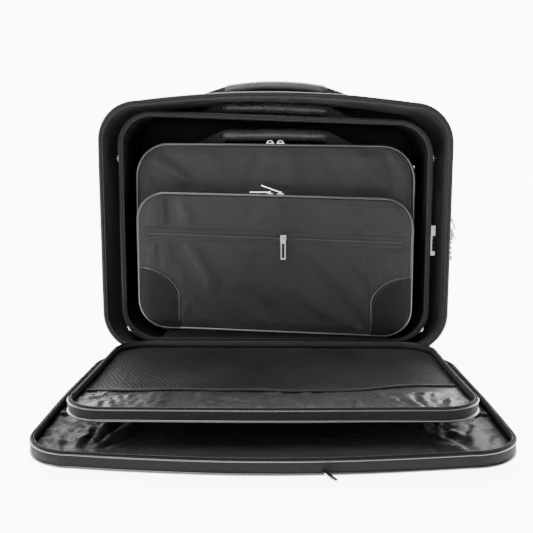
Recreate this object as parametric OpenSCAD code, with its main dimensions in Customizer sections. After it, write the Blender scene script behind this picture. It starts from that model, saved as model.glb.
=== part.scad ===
// Pilot rolling flight case: three cases nested one inside the next.
// Front is -Y, +Z is up, the origin is on the floor under the middle of the open set.

/* [Large case] */
// Width of the large case over its side walls
large_width = 460; // [440:1:480]
// Depth of the large case from rim to back
large_depth = 215; // [212:1:230]
// Height of the large case corners above the floor
large_top = 364; // [362:1:368]
// Rise of the top panel at the middle
large_crown = 12; // [11:0.5:16]
// Corner radius of the large case
large_radius = 52; // [46:1:56]
// Thickness of the padded wall
large_wall = 4.5; // [4:0.5:5]
// Depth of the front lid tray of the large case
large_tray = 16; // [15:0.5:17]
// Thickness of the outer pocket on the large lid
large_pocket = 9; // [8:0.5:9]
// Tip of the open large lid below level, in degrees
large_lid_tip = 1.2; // [0.8:0.1:1.3]

/* [Medium case] */
// Width of the medium case
medium_width = 414; // [404:1:418]
// Depth of the medium case from rim to back
medium_depth = 152; // [148:1:154]
// Height of the medium case top above the floor
medium_top = 347; // [343:0.5:348]
// Corner radius of the medium case
medium_radius = 45; // [40:1:50]
// Depth of the medium lid tray
medium_tray = 14; // [13:0.5:14]
// Rise of the open medium lid above level, in degrees
medium_lid_rise = 2; // [1.5:0.1:3]

/* [Small case] */
// Width of the small case
small_width = 376; // [366:1:386]
// Depth of the small case from rim to back
small_depth = 90; // [80:1:100]
// Height of the small case top above the floor
small_top = 310; // [306:1:312]
// Corner radius of the small case
small_radius = 45; // [40:1:48]
// Width of the front pocket
pocket_width = 366; // [350:1:370]
// Height of the pocket top above the floor
pocket_top = 243; // [235:1:250]
// Height of the slanting zip above the floor
slash_height = 187; // [180:1:195]

/* [Handles and trolley] */
// Length of a padded carrying grip
grip_length = 150; // [130:1:160]
// Half of the spread of a handle at its feet
handle_reach = 107; // [100:1:110]
// Half spacing of the trolley tubes
tube_reach = 85; // [75:1:88]
// Radius of the outer trolley tubes
tube_radius = 8; // [7.5:0.5:8.5]

/* [Wheels and locks] */
// Radius of the wheels over the tyre
wheel_radius = 25; // [24:0.5:26]
// Height of the lock bodies
lock_height = 40; // [38:1:44]
// Radius of a number dial
dial_radius = 5; // [4.5:0.1:5.2]

/* [Hidden] */
$fn = 64;

cloth = [0.13, 0.13, 0.13];
lining_grey = [0.32, 0.33, 0.32];
vinyl = [0.05, 0.05, 0.05];
steel = [0.75, 0.76, 0.78];
plastic = [0.09, 0.09, 0.09];
mesh_grey = [0.2, 0.2, 0.2];

// Distance the large rim plane stands behind the origin
set_back = 56.8;

// Bottom, rim plane and hinge line of each case
large_bottom = 34;
large_hinge_y = 0;
large_hinge_z = 33.5;
medium_bottom = 43.5;
medium_rim = 14;
medium_hinge_y = 2.8;
medium_hinge_z = 38.8;
medium_wall = 4.5;
small_bottom = 51.8;
small_rim = 52;
small_wall = 3;
small_lid_bottom = 55;
small_tray = 14;
small_face = small_rim - small_tray;
pocket_face = 11;
pocket_bottom = 59;
left_pull_y = 25.4;
right_pull_y = 21.8;
seam_gap = 0.4;
bead = 1.5;

// Trolley and wheels
tube_y = 199;
bezel_floor = large_top - 18;
wheel_y = 203;
wheel_x = 170;
wheel_width = 24;

// Handles
large_pivot = large_top + 13.5;
medium_pivot = medium_top + 1.4;
small_pivot = small_top + 1.4;
large_handle_y = 110;
medium_handle_y = 90;
small_handle_y = 92;

// Locks
large_lock_z = 177;
medium_lock_z = 183;
dial_pitch = 7;

// Points of a rounded rectangle with a crowned top edge, seen from the front.
function arc_points(cx, cz, r, a0, steps) =
  [for (i = [0 : steps]) [cx + r * cos(a0 + 90 * i / steps), cz + r * sin(a0 + 90 * i / steps)]];
function crown_points(half, z, crown, steps) =
  [for (i = [1 : steps - 1]) let (x = half - 2 * half * i / steps)
    [x, z + crown * (1 - (x / half) * (x / half))]];
function case_points(w, z0, z1, r, crown) = concat(
  arc_points(w / 2 - r, z0 + r, r, 270, 8),
  arc_points(w / 2 - r, z1 - r, r, 0, 8),
  crown > 0 ? crown_points(w / 2 - r, z1, crown, 14) : [],
  arc_points(r - w / 2, z1 - r, r, 90, 8),
  arc_points(r - w / 2, z0 + r, r, 180, 8));

// A slab of the case outline between two depths; inset moves every edge inward.
module slab(w, z0, z1, r, crown, inset, y0, y1) {
  translate([0, y1, 0]) rotate([90, 0, 0]) linear_extrude(height = y1 - y0)
    polygon(case_points(w - 2 * inset, z0 + inset, z1 - inset, r - inset, crown));
}

module large_slab(inset, y0, y1) {
  slab(large_width, large_bottom, large_top, large_radius, large_crown, inset, y0, y1);
}

module medium_slab(inset, y0, y1) {
  slab(medium_width, medium_bottom, medium_top, medium_radius, 0, inset, y0, y1);
}

module small_slab(inset, y0, y1, z0 = small_bottom) {
  slab(small_width, z0, small_top, small_radius, 0, inset, y0, y1);
}

module pocket_slab(inset, y0, y1) {
  slab(pocket_width, pocket_bottom, pocket_top, 38, 0, inset, y0, y1);
}

// Turns a closed lid down about its hinge line.
module open_lid(hinge_y, hinge_z, angle) {
  translate([0, hinge_y, hinge_z]) rotate([angle, 0, 0])
    translate([0, -hinge_y, -hinge_z]) children();
}

module open_large() {
  open_lid(large_hinge_y, large_hinge_z, 90 + large_lid_tip) children();
}

module open_medium() {
  open_lid(medium_hinge_y, medium_hinge_z, 90 - medium_lid_rise) children();
}

// Colours a sub-part and sets it back so the origin is under the middle of the whole.
module placed(c) {
  color(c) translate([0, set_back, 0]) children();
}

module box(x0, x1, y0, y1, z0, z1) {
  translate([x0, y0, z0]) cube([x1 - x0, y1 - y0, z1 - z0]);
}

module rod_x(x0, x1, y, z, r) {
  translate([x0, y, z]) rotate([0, 90, 0]) cylinder(h = x1 - x0, r = r);
}

// ---- large case ----

module large_shell() {
  placed(cloth) difference() {
    large_slab(0, 0, large_depth);
    large_slab(large_wall, -1, large_depth - large_wall);
    // seat of the rim piping
    difference() {
      large_slab(-1, 1, 5);
      large_slab(1.5, 0, 6);
    }
    // seat of the side zip
    difference() {
      large_slab(-1, 9, 17);
      large_slab(1.6, 8, 18);
    }
    // wheel wells
    for (s = [-1, 1]) box(s * wheel_x - 20.2, s * wheel_x + 20.2, 171.8, 220, 30, 58.2);
    // trolley well
    box(-105.2, 105.2, 183.8, 210.2, 300, 420);
    dial_wells(large_width / 2 + 0.2, 20, large_lock_z);
  }
}

module large_lining() {
  placed(lining_grey) difference() {
    large_slab(large_wall + 0.1, 12.2, 171);
    large_slab(large_wall + 0.9, 12, 170);
  }
}

module large_rim_piping() {
  placed(vinyl) difference() {
    union() {
      large_slab(-bead, 2, 4);
      large_slab(-0.8, 1.2, 4.8);
    }
    large_slab(1.4, 0, 6);
    hinge_seat();
  }
}

module large_zip_tape() {
  placed(lining_grey) difference() {
    large_slab(large_wall + 0.1, 0.2, 12);
    large_slab(large_wall + 1.1, 0, 13);
  }
}

module large_side_zip() {
  placed(vinyl) difference() {
    union() {
      large_slab(0, 9.2, 16.8);
      large_slab(-0.9, 11.4, 14.6);
    }
    large_slab(1.5, 8, 18);
    hinge_seat();
  }
}

module side_slider(z) {
  x = large_width / 2 + 1.1;
  box(x, x + 1.7, 9.4, 16.6, z - 5, z + 5);
  for (y = [9.6, 15.4]) box(x + 1.7, x + 4, y, y + 1, z - 1.3, z + 1.3);
  translate([x + 2.9, 10, z]) rotate([-90, 0, 0]) cylinder(h = 6, r = 0.6);
}

module large_side_sliders() {
  placed(steel) {
    side_slider(199);
    side_slider(212);
  }
}

// A tongue that hangs from its slider, hinged on a rod along Y.
module side_pull(z) {
  translate([large_width / 2 + 4, 13, z]) rotate([0, 70, 0]) difference() {
    union() {
      box(0, 13.5, -2.2, 2.2, -0.6, 0.6);
      translate([0, -2.2, 0]) rotate([-90, 0, 0]) cylinder(h = 4.4, r = 1.1);
    }
    translate([0, -3, 0]) rotate([-90, 0, 0]) cylinder(h = 6, r = 0.75);
    translate([10.2, 0, -2]) cylinder(h = 4, r = 1.2);
  }
}

module large_side_pull_upper() {
  placed(steel) side_pull(212);
}

module large_side_pull_lower() {
  placed(steel) side_pull(199);
}

module large_feet() {
  placed(plastic) for (s = [-1, 1]) translate([s * 170, 46, 0]) {
    cylinder(h = 4, r = 10);
    translate([0, 0, 4]) cylinder(h = large_bottom - 4, r1 = 12, r2 = 15);
  }
}

module dial_wells(x, y0, zc) {
  for (i = [-1 : 1]) translate([x + 3.4, y0 + 8, zc - 4 + i * dial_pitch - 2.3])
    cylinder(h = 4.6, r = dial_radius + 0.5);
}

// Lock with three thumb dials standing on a side wall.
module lock_body(x, y0, zc) {
  difference() {
    box(x, x + 7.5, y0, y0 + 16, zc - lock_height / 2, zc + lock_height / 2);
    dial_wells(x, y0, zc);
    // low middle in which the dials stand proud
    box(x + 3.6, x + 8, y0 - 1, y0 + 17, zc - 4 - 1.5 * dial_pitch, zc - 4 + 1.5 * dial_pitch);
    box(x + 4, x + 8, y0 + 3, y0 + 13, zc + 11, zc + 16);
  }
}

module dial(x, y0, zc, i) {
  translate([x + 3.4, y0 + 8, zc - 4 + i * dial_pitch - 1.9]) difference() {
    cylinder(h = 3.8, r = dial_radius);
    for (a = [0 : 36 : 324]) rotate([0, 0, a + 18]) translate([dial_radius + 0.35, 0, -1])
      cylinder(h = 6, r = 0.7, $fn = 8);
  }
}

module large_lock_body() {
  placed(steel) lock_body(large_width / 2 + 0.2, 20, large_lock_z);
}

module large_dial_1() {
  placed(plastic) dial(large_width / 2 + 0.2, 20, large_lock_z, -1);
}

module large_dial_2() {
  placed(plastic) dial(large_width / 2 + 0.2, 20, large_lock_z, 0);
}

module large_dial_3() {
  placed(plastic) dial(large_width / 2 + 0.2, 20, large_lock_z, 1);
}

module large_hinge_strip() {
  placed(cloth) box(-178, 178, 0.6, 26, large_bottom - 0.9, large_bottom - 0.1);
}

// Room left for the hinge strip in the bands that run round the rim.
module hinge_seat() {
  box(-178.3, 178.3, -1, 30, large_bottom - 5, large_bottom);
}

module wheel_housings() {
  placed(plastic) for (s = [-1, 1]) difference() {
    box(s * wheel_x - 20, s * wheel_x + 20, 172, 228, 13, 58);
    rod_x(s * wheel_x - wheel_width / 2 - 1.5, s * wheel_x + wheel_width / 2 + 1.5,
      wheel_y, wheel_radius, wheel_radius + 2.5);
    box(s * wheel_x - wheel_width / 2 - 1.5, s * wheel_x + wheel_width / 2 + 1.5,
      wheel_y - wheel_radius - 2.5, 230, 0, 25);
    rod_x(s * wheel_x - 30, s * wheel_x + 30, wheel_y, wheel_radius, 4.1);
  }
}

module wheel_axles() {
  placed(steel) for (s = [-1, 1])
    rod_x(s * wheel_x - 19.8, s * wheel_x + 19.8, wheel_y, wheel_radius, 4);
}

module wheel_hub(s) {
  difference() {
    union() {
      rod_x(s * wheel_x - 9, s * wheel_x + 9, wheel_y, wheel_radius, wheel_radius - 5.2);
      rod_x(s * wheel_x - 11.6, s * wheel_x + 11.6, wheel_y, wheel_radius, 7);
    }
    rod_x(s * wheel_x - 20, s * wheel_x + 20, wheel_y, wheel_radius, 4.4);
    for (a = [0 : 60 : 300]) translate([s * wheel_x, wheel_y, wheel_radius])
      rotate([a, 0, 0]) rod_x(-12, 12, 13, 0, 3.2);
  }
}

module wheel_tyre(s) {
  difference() {
    union() {
      rod_x(s * wheel_x - 12, s * wheel_x + 12, wheel_y, wheel_radius, wheel_radius - 1.2);
      rod_x(s * wheel_x - 9.5, s * wheel_x + 9.5, wheel_y, wheel_radius, wheel_radius);
    }
    rod_x(s * wheel_x - 13, s * wheel_x + 13, wheel_y, wheel_radius, wheel_radius - 5);
  }
}

module wheel_left() {
  placed(plastic) wheel_hub(-1);
}

module wheel_right() {
  placed(plastic) wheel_hub(1);
}

module tyre_left() {
  placed(vinyl) wheel_tyre(-1);
}

module tyre_right() {
  placed(vinyl) wheel_tyre(1);
}

// ---- trolley ----

module tube(s, z0, z1, r, bore) {
  translate([s * tube_reach, tube_y, z0]) difference() {
    cylinder(h = z1 - z0, r = r);
    translate([0, 0, -1]) cylinder(h = z1 - z0 + 2, r = bore);
  }
}

module trolley_outer_tubes() {
  placed(steel) {
    for (s = [-1, 1]) tube(s, 46, bezel_floor, tube_radius, tube_radius - 1.1);
    difference() {
      box(-tube_reach - 12, tube_reach + 12, 190, 208, large_bottom + large_wall, 50);
      for (s = [-1, 1]) translate([s * tube_reach, tube_y, 46]) cylinder(h = 9, r = tube_radius - 1.1);
    }
  }
}

module trolley_mid_tubes() {
  placed(steel) for (s = [-1, 1])
    tube(s, 50, bezel_floor + 4, tube_radius - 1.5, tube_radius - 2.6);
}

module trolley_inner_tubes() {
  placed(steel) for (s = [-1, 1])
    tube(s, 54, bezel_floor + 17, tube_radius - 3, tube_radius - 4.2);
}

module trolley_bezel() {
  placed(plastic) difference() {
    union() {
      box(-105, 105, 184, 210, bezel_floor, bezel_floor + 27);
      difference() {
        large_slab(-1, 181, 212.5);
        large_slab(-0.1, 180, 213.5);
        box(-300, 300, 170, 230, -10, bezel_floor - 4);
        for (s = [-1, 1]) translate([s * 208, 197, bezel_floor + 6]) cube([200, 60, 80], center = true);
      }
    }
    box(-101, 101, 187.5, 206.5, bezel_floor + 3, 420);
    for (s = [-1, 1]) translate([s * tube_reach, tube_y, bezel_floor - 4])
      cylinder(h = 20, r = tube_radius - 1.1);
    difference() {
      box(-103, 103, 183, 211, bezel_floor + 22, 420);
      large_slab(-1, 180, 215);
    }
  }
}

module trolley_grip() {
  placed(plastic) difference() {
    box(-98, 98, 189.5, 204.5, bezel_floor + 5.5, bezel_floor + 26);
    box(-72, 72, 180, 220, bezel_floor - 4, bezel_floor + 13);
    for (s = [-1, 1]) translate([s * tube_reach, tube_y, bezel_floor - 4])
      cylinder(h = 21.2, r = tube_radius - 2.9);
    box(-15.4, 15.4, 192.6, 201.4, bezel_floor + 18, bezel_floor + 28);
  }
}

module trolley_button() {
  placed(steel) box(-15, 15, 193, 201, bezel_floor + 21.6, bezel_floor + 27.4);
}

// ---- large lid, drawn closed and then turned down ----

module large_lid_tray() {
  placed(cloth) open_large() difference() {
    large_slab(0, -seam_gap - large_tray, -seam_gap);
    large_slab(4, -seam_gap - large_tray + 3, 1);
    difference() {
      large_slab(-1, -seam_gap - large_tray - 1, -seam_gap - large_tray + 3);
      large_slab(1.4, -seam_gap - large_tray - 2, -seam_gap - large_tray + 4);
    }
    difference() {
      large_slab(-1, -4, -1);
      large_slab(1.2, -5, 0);
    }
  }
}

module large_lid_lining() {
  placed(lining_grey) open_large()
    large_slab(6, -seam_gap - large_tray + 3.1, -seam_gap - large_tray + 5);
}

module large_lid_mesh_pocket() {
  placed(mesh_grey) open_large() difference() {
    large_slab(9, -seam_gap - large_tray + 5.4, -seam_gap - large_tray + 8);
    large_slab(10, -seam_gap - large_tray + 5, -seam_gap - large_tray + 7.2);
    box(-300, 300, -30, 10, 262, 420);
  }
}

module large_lid_piping() {
  y = -seam_gap - large_tray;
  placed(vinyl) open_large() {
    difference() {
      union() {
        large_slab(-bead, y + 0.4, y + 2.2);
        large_slab(-0.8, y, y + 2.8);
      }
      large_slab(1.3, y - 1, y + 4);
    }
    difference() {
      large_slab(-0.7, -3.8, -1.2);
      large_slab(1.1, -5, 0);
    }
  }
}

module large_lid_pocket() {
  y = -seam_gap - large_tray;
  placed(cloth) open_large() difference() {
    union() {
      large_slab(20, y - large_pocket + 1.6, y - 0.1);
      large_slab(22, y - large_pocket, y - 1);
    }
    large_slab(23, y - large_pocket + 2, y);
  }
}

// ---- medium case ----

module medium_shell() {
  placed(cloth) union() {
    difference() {
      medium_slab(0, medium_rim, medium_rim + medium_depth);
      medium_slab(medium_wall, medium_rim - 1, medium_rim + medium_depth - medium_wall);
      difference() {
        medium_slab(-1, medium_rim + 1, medium_rim + 5);
        medium_slab(1.5, medium_rim, medium_rim + 6);
      }
      dial_wells(medium_width / 2 + 0.2, 22, medium_lock_z);
    }
    for (s = [-1, 1]) for (y = [36, 144]) translate([s * 130, y, 40])
      cylinder(h = medium_bottom - 39, r = 9);
  }
}

module medium_floor_pad() {
  placed(lining_grey) box(-155, 155, medium_rim + 2, medium_rim + medium_depth - medium_wall - 1,
    medium_bottom + medium_wall + 0.1, 49.7);
}

module medium_rim_piping() {
  placed(vinyl) difference() {
    union() {
      medium_slab(-bead, medium_rim + 2, medium_rim + 4);
      medium_slab(-0.8, medium_rim + 1.2, medium_rim + 4.8);
    }
    medium_slab(1.4, medium_rim, medium_rim + 6);
  }
}

module medium_lock_body() {
  placed(steel) lock_body(medium_width / 2 + 0.2, 22, medium_lock_z);
}

module medium_dial_1() {
  placed(plastic) dial(medium_width / 2 + 0.2, 22, medium_lock_z, -1);
}

module medium_dial_2() {
  placed(plastic) dial(medium_width / 2 + 0.2, 22, medium_lock_z, 0);
}

module medium_dial_3() {
  placed(plastic) dial(medium_width / 2 + 0.2, 22, medium_lock_z, 1);
}

// A half ring of wire with its straight bar against a side wall, and the tab that holds it.
module d_ring(x, y, z, s) {
  translate([x, y, z]) {
    translate([s * 1.9, 0, 0]) difference() {
      rotate_extrude() translate([8.6, 0]) circle(r = 1.3, $fn = 16);
      translate([-s * 15, 0, 0]) cube([30, 30, 10], center = true);
    }
    translate([s * 1.9, -9.9, 0]) rotate([-90, 0, 0]) cylinder(h = 19.8, r = 1.3, $fn = 16);
    difference() {
      box(s > 0 ? 0.2 : -4, s > 0 ? 4 : -0.2, -6, 6, -3.6, 3.6);
      translate([s * 1.9, -8, 0]) rotate([-90, 0, 0]) cylinder(h = 16, r = 1.6, $fn = 16);
    }
  }
}

module medium_d_rings() {
  placed(steel) for (s = [-1, 1]) d_ring(s * medium_width / 2, 36, 292, s);
}

// A small zip slider lying on each lower corner.
module medium_sliders() {
  placed(steel) for (s = [-1, 1])
    translate([s * (medium_width / 2 - medium_radius), 0, medium_bottom + medium_radius])
      rotate([0, s * 37, 0]) translate([s * medium_radius, 0, 0]) {
        box(s > 0 ? 0.2 : -2.4, s > 0 ? 2.4 : -0.2, 20, 26.5, -4.5, 4.5);
        box(s > 0 ? 0.2 : -4, s > 0 ? 4 : -0.2, 22, 24.5, -2, 3);
      }
}

module medium_lid_tray() {
  y = medium_rim - seam_gap - medium_tray;
  placed(cloth) open_medium() difference() {
    medium_slab(0, y, medium_rim - seam_gap);
    medium_slab(3.5, y + 2.6, medium_rim + 1);
    difference() {
      medium_slab(-1, y - 1, y + 3);
      medium_slab(1.4, y - 2, y + 4);
    }
    difference() {
      medium_slab(-1, medium_rim - 4, medium_rim - 1);
      medium_slab(1.2, medium_rim - 5, medium_rim);
    }
  }
}

module medium_lid_lining() {
  y = medium_rim - seam_gap - medium_tray;
  placed(lining_grey) open_medium() medium_slab(5.5, y + 2.7, y + 3.7);
}

module medium_lid_mesh_pocket() {
  y = medium_rim - seam_gap - medium_tray;
  placed(mesh_grey) open_medium() difference() {
    medium_slab(7, y + 4, y + 5.4);
    medium_slab(8, y + 3, y + 4.8);
    box(-300, 300, -30, 30, 282, 420);
  }
}

module medium_lid_piping() {
  y = medium_rim - seam_gap - medium_tray;
  placed(vinyl) open_medium() {
    difference() {
      union() {
        medium_slab(-bead, y + 0.4, y + 2.2);
        medium_slab(-0.8, y - 0.8, y + 2.8);
      }
      medium_slab(1.3, y - 1, y + 4);
    }
    difference() {
      medium_slab(-0.7, medium_rim - 3.8, medium_rim - 1.2);
      medium_slab(1.1, medium_rim - 5, medium_rim);
    }
  }
}

// ---- small case ----

module small_shell() {
  placed(cloth) difference() {
    small_slab(0, small_rim, small_rim + small_depth);
    small_slab(small_wall, small_rim - 1, small_rim + small_depth - small_wall);
  }
}

module small_d_rings() {
  placed(steel) for (s = [-1, 1]) d_ring(s * small_width / 2, 72, 278, s);
}

module small_lid_tray() {
  placed(cloth) difference() {
    small_slab(0, small_face, small_rim - seam_gap, small_lid_bottom);
    small_slab(3, small_face + 3, small_rim + 1, small_lid_bottom);
    difference() {
      small_slab(-1, small_face - 1, small_face + 3, small_lid_bottom);
      small_slab(1.4, small_face - 2, small_face + 4, small_lid_bottom);
    }
  }
}

module small_pocket() {
  placed(cloth) difference() {
    pocket_slab(0, pocket_face, small_face - 0.1);
    pocket_slab(2.5, pocket_face + 2.5, small_face);
    difference() {
      pocket_slab(-1, pocket_face - 1, pocket_face + 3);
      pocket_slab(1.4, pocket_face - 2, pocket_face + 4);
    }
    // slot behind the slanting zip
    box(-150, 150, pocket_face - 1, pocket_face + 3, slash_height - 1.6, slash_height + 1.6);
  }
}

module small_piping() {
  placed(vinyl) {
    difference() {
      union() {
        small_slab(-bead, small_face + 0.4, small_face + 2.2, small_lid_bottom);
        small_slab(-0.8, small_face, small_face + 2.8, small_lid_bottom);
      }
      small_slab(1.3, small_face - 1, small_face + 4, small_lid_bottom);
    }
    difference() {
      union() {
        pocket_slab(-bead, pocket_face + 0.4, pocket_face + 2.2);
        pocket_slab(-0.8, pocket_face, pocket_face + 2.8);
      }
      pocket_slab(1.3, pocket_face - 1, pocket_face + 4);
    }
  }
}

module small_sliders() {
  placed(steel) {
    for (x = [-7, 7]) translate([x, small_rim - 6.5, small_top]) {
      box(-5.2, 5.2, -4.2, 4.2, 0.2, 2.4);
      // bridge that stands on the slider
      translate([0, 0, 2.2]) rotate([90, 0, 0]) difference() {
        rotate_extrude() translate([3.7, 0]) circle(r = 1.3, $fn = 16);
        translate([0, -10, 0]) cube([20, 20, 10], center = true);
      }
    }
    pocket_slider(-7, left_pull_y);
    pocket_slider(7, right_pull_y);
  }
}

module pocket_slider(x, y) {
  box(x - 4.5, x + 4.5, 20.4, 27.2, pocket_top + 0.2, pocket_top + 2.8);
  for (dy = [-2.3, 1.6]) box(x - 1, x + 1, y + dy, y + dy + 0.7, pocket_top + 2.6, pocket_top + 5.4);
  translate([x, y - 2.2, pocket_top + 4.3]) rotate([-90, 0, 0]) cylinder(h = 4.4, r = 0.6);
}

// A tongue hinged on a rod along Y; it lies to the left along the pocket zip.
module pocket_pull(x, y, lift) {
  translate([x, y, pocket_top + 4.3]) rotate([0, lift, 0]) difference() {
    union() {
      box(-27, 0, -1.3, 1.3, -0.6, 0.6);
      translate([0, -1.3, 0]) rotate([-90, 0, 0]) cylinder(h = 2.6, r = 1.3);
    }
    translate([0, -3, 0]) rotate([-90, 0, 0]) cylinder(h = 6, r = 0.85);
  }
}

module small_pocket_pull_left() {
  placed(steel) pocket_pull(-7, left_pull_y, 0);
}

module small_pocket_pull_right() {
  placed(steel) pocket_pull(7, right_pull_y, 20);
}

module small_slash_slider() {
  placed(steel) translate([11, 0, slash_height]) {
    box(-3.8, 3.8, pocket_face - 2.4, pocket_face - 0.3, -4, 4);
    box(-1, 1, pocket_face - 0.4, pocket_face + 2.2, -1, 1);
    for (dx = [-2.9, 2.1]) box(dx, dx + 0.8, pocket_face - 4.8, pocket_face - 2.3, -1.1, 1.1);
    rod_x(-2.4, 2.4, pocket_face - 4.1, 0, 0.6);
  }
}

module small_slash_pull() {
  placed(steel) translate([11, pocket_face - 4.1, slash_height]) difference() {
    union() {
      rod_x(-1.8, 1.8, 0, 0, 1.35);
      box(-1.8, 1.8, -0.6, 0.6, -5, 0);
      box(-3.2, 3.2, -0.6, 0.6, -28, -4);
    }
    rod_x(-3, 3, 0, 0, 0.8);
    box(-1.9, 1.9, -2, 2, -26.5, -6.5);
  }
}

// ---- handles ----

function oval(a, b, n) = [for (i = [0 : n - 1]) [a * cos(360 * i / n), b * sin(360 * i / n)]];

module handle_grip(y, zc, a, b) {
  half = grip_length / 2;
  translate([-half + 3, y, zc]) rotate([90, 0, 90]) linear_extrude(height = grip_length - 6)
    polygon(oval(a, b, 24));
  for (s = [-1, 1]) translate([s * (half - 1.5), y, zc]) rotate([90, 0, 90])
    translate([0, 0, -1.5]) linear_extrude(height = 3) polygon(oval(a - 2, b - 2, 24));
}

// Webbing that slopes from each end of the grip down to the case.
module handle_straps(y, zc, pivot) {
  half = grip_length / 2 + 0.2;
  for (s = [-1, 1]) {
    translate([0, y + 10, 0]) rotate([90, 0, 0]) linear_extrude(height = 20)
      polygon([[s * half, zc - 2.4], [s * half, zc + 2.4], [s * (half + 5), zc + 2.2],
        [s * (handle_reach - 2), pivot + 7], [s * (handle_reach - 5), pivot + 4.8],
        [s * (half + 6), zc - 2.4]]);
    translate([0, y + 1.2, 0]) rotate([90, 0, 0]) linear_extrude(height = 2.4)
      polygon([[s * (handle_reach - 12), pivot - 0.8], [s * handle_reach, pivot - 0.8],
        [s * (handle_reach - 2), pivot + 7], [s * (handle_reach - 9), pivot + 6]]);
  }
}

module large_handle_grip() {
  placed(vinyl) handle_grip(large_handle_y, large_pivot + 12, 13, 9);
}

module large_handle_straps() {
  placed(cloth) handle_straps(large_handle_y, large_pivot + 12, large_pivot);
}

module medium_handle_grip() {
  placed(vinyl) handle_grip(medium_handle_y, medium_pivot + 12.4, 11, 7);
}

module medium_handle_straps() {
  placed(cloth) handle_straps(medium_handle_y, medium_pivot + 12.4, medium_pivot);
}

module small_handle_grip() {
  placed(vinyl) handle_grip(small_handle_y, small_pivot + 12, 12, 9);
}

module small_handle_straps() {
  placed(cloth) handle_straps(small_handle_y, small_pivot + 12, small_pivot);
}

large_shell();
large_lining();
large_rim_piping();
large_zip_tape();
large_side_zip();
large_side_sliders();
large_feet();
large_lock_body();
large_hinge_strip();
wheel_housings();
wheel_axles();
trolley_outer_tubes();
trolley_bezel();
large_lid_tray();
large_lid_lining();
large_lid_mesh_pocket();
large_lid_piping();
large_lid_pocket();
trolley_mid_tubes();
trolley_inner_tubes();
trolley_grip();
trolley_button();
wheel_left();
tyre_left();
wheel_right();
tyre_right();
large_handle_grip();
large_handle_straps();
medium_handle_grip();
medium_handle_straps();
small_handle_grip();
small_handle_straps();
large_dial_1();
large_dial_2();
large_dial_3();
medium_dial_1();
medium_dial_2();
medium_dial_3();
large_side_pull_upper();
large_side_pull_lower();
medium_shell();
medium_floor_pad();
medium_rim_piping();
medium_lock_body();
medium_d_rings();
medium_sliders();
medium_lid_tray();
medium_lid_lining();
medium_lid_mesh_pocket();
medium_lid_piping();
small_shell();
small_d_rings();
small_lid_tray();
small_pocket();
small_piping();
small_sliders();
small_pocket_pull_left();
small_pocket_pull_right();
small_slash_slider();
small_slash_pull();
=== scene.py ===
from math import cos, exp, hypot, pi, radians, sin, sqrt

import bpy
import numpy as np
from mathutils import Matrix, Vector


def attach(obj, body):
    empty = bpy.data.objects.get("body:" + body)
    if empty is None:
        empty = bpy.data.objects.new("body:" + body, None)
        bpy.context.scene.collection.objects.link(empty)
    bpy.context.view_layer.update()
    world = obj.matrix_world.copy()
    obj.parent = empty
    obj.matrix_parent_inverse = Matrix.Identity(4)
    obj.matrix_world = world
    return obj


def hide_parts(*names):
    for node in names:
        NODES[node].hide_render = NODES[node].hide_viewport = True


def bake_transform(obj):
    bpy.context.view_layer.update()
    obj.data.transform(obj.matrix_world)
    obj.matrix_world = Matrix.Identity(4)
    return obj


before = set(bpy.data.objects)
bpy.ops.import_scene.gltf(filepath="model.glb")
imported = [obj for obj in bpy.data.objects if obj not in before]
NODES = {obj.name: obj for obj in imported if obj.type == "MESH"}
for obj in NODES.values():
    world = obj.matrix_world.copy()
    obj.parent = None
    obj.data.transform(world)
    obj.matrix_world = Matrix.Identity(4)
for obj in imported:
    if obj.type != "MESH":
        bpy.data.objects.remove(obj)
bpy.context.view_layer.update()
SET_BACK = 56.8          # mm from the origin back to the large rim plane

# hinge lines (y, z) in mm and how far each lid is turned down at rest
HINGES = {"large_lid": (0.0, 33.5, 91.2), "medium_lid": (2.8, 38.8, 88.0)}

# width, bottom, top, corner radius, crown of each case outline, in mm
LARGE = (460, 34, 364, 52, 12)
LARGE_IN = (450.6, 38.7, 359.3, 47.3, 12)
MEDIUM = (414, 43.5, 347, 45)
SMALL = (376, 51.8, 310, 45)
SMALL_LID = (376, 55, 310, 45)
POCKET = (366, 59, 243, 38)


# --- noise

def value_noise(p, size, seed=0):
    q = np.asarray(p, float) / size
    i = np.floor(q).astype(np.int64)
    f = q - i
    u = f * f * (3 - 2 * f)
    total = np.zeros(q.shape[:-1])
    for dx in (0, 1):
        for dy in (0, 1):
            for dz in (0, 1):
                n = ((i[..., 0] + dx) * 73856093) ^ ((i[..., 1] + dy) * 19349663)
                n = (n ^ ((i[..., 2] + dz) * 83492791) ^ (seed * 7919 + 17)) & 0x7FFFFFFF
                n = ((n ^ (n >> 13)) * 1274126177) & 0x7FFFFFFF
                n = (n ^ (n >> 15)) & 0xFFFF
                w = (u[..., 0] if dx else 1 - u[..., 0]) * (u[..., 1] if dy else 1 - u[..., 1])
                w = w * (u[..., 2] if dz else 1 - u[..., 2])
                total += w * (n / 32767.5 - 1)
    return total


def fbm(p, size, octaves=3, seed=0):
    out, amp = 0, 1.0
    for k in range(octaves):
        out = out + amp * value_noise(p, size / 2 ** k, seed + 31 * k)
        amp *= 0.5
    return out


def creases(p, size, seed=0):
    """Sharp-topped folds: 1 on a fold line, falling away to 0."""
    return 1 - np.clip(np.abs(value_noise(p, size, seed)) * 3.2, 0, 1)


def smooth(a, b, x):
    t = np.clip((x - a) / (b - a), 0, 1)
    return t * t * (3 - 2 * t)


# --- outlines and meshes (mm)

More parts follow.
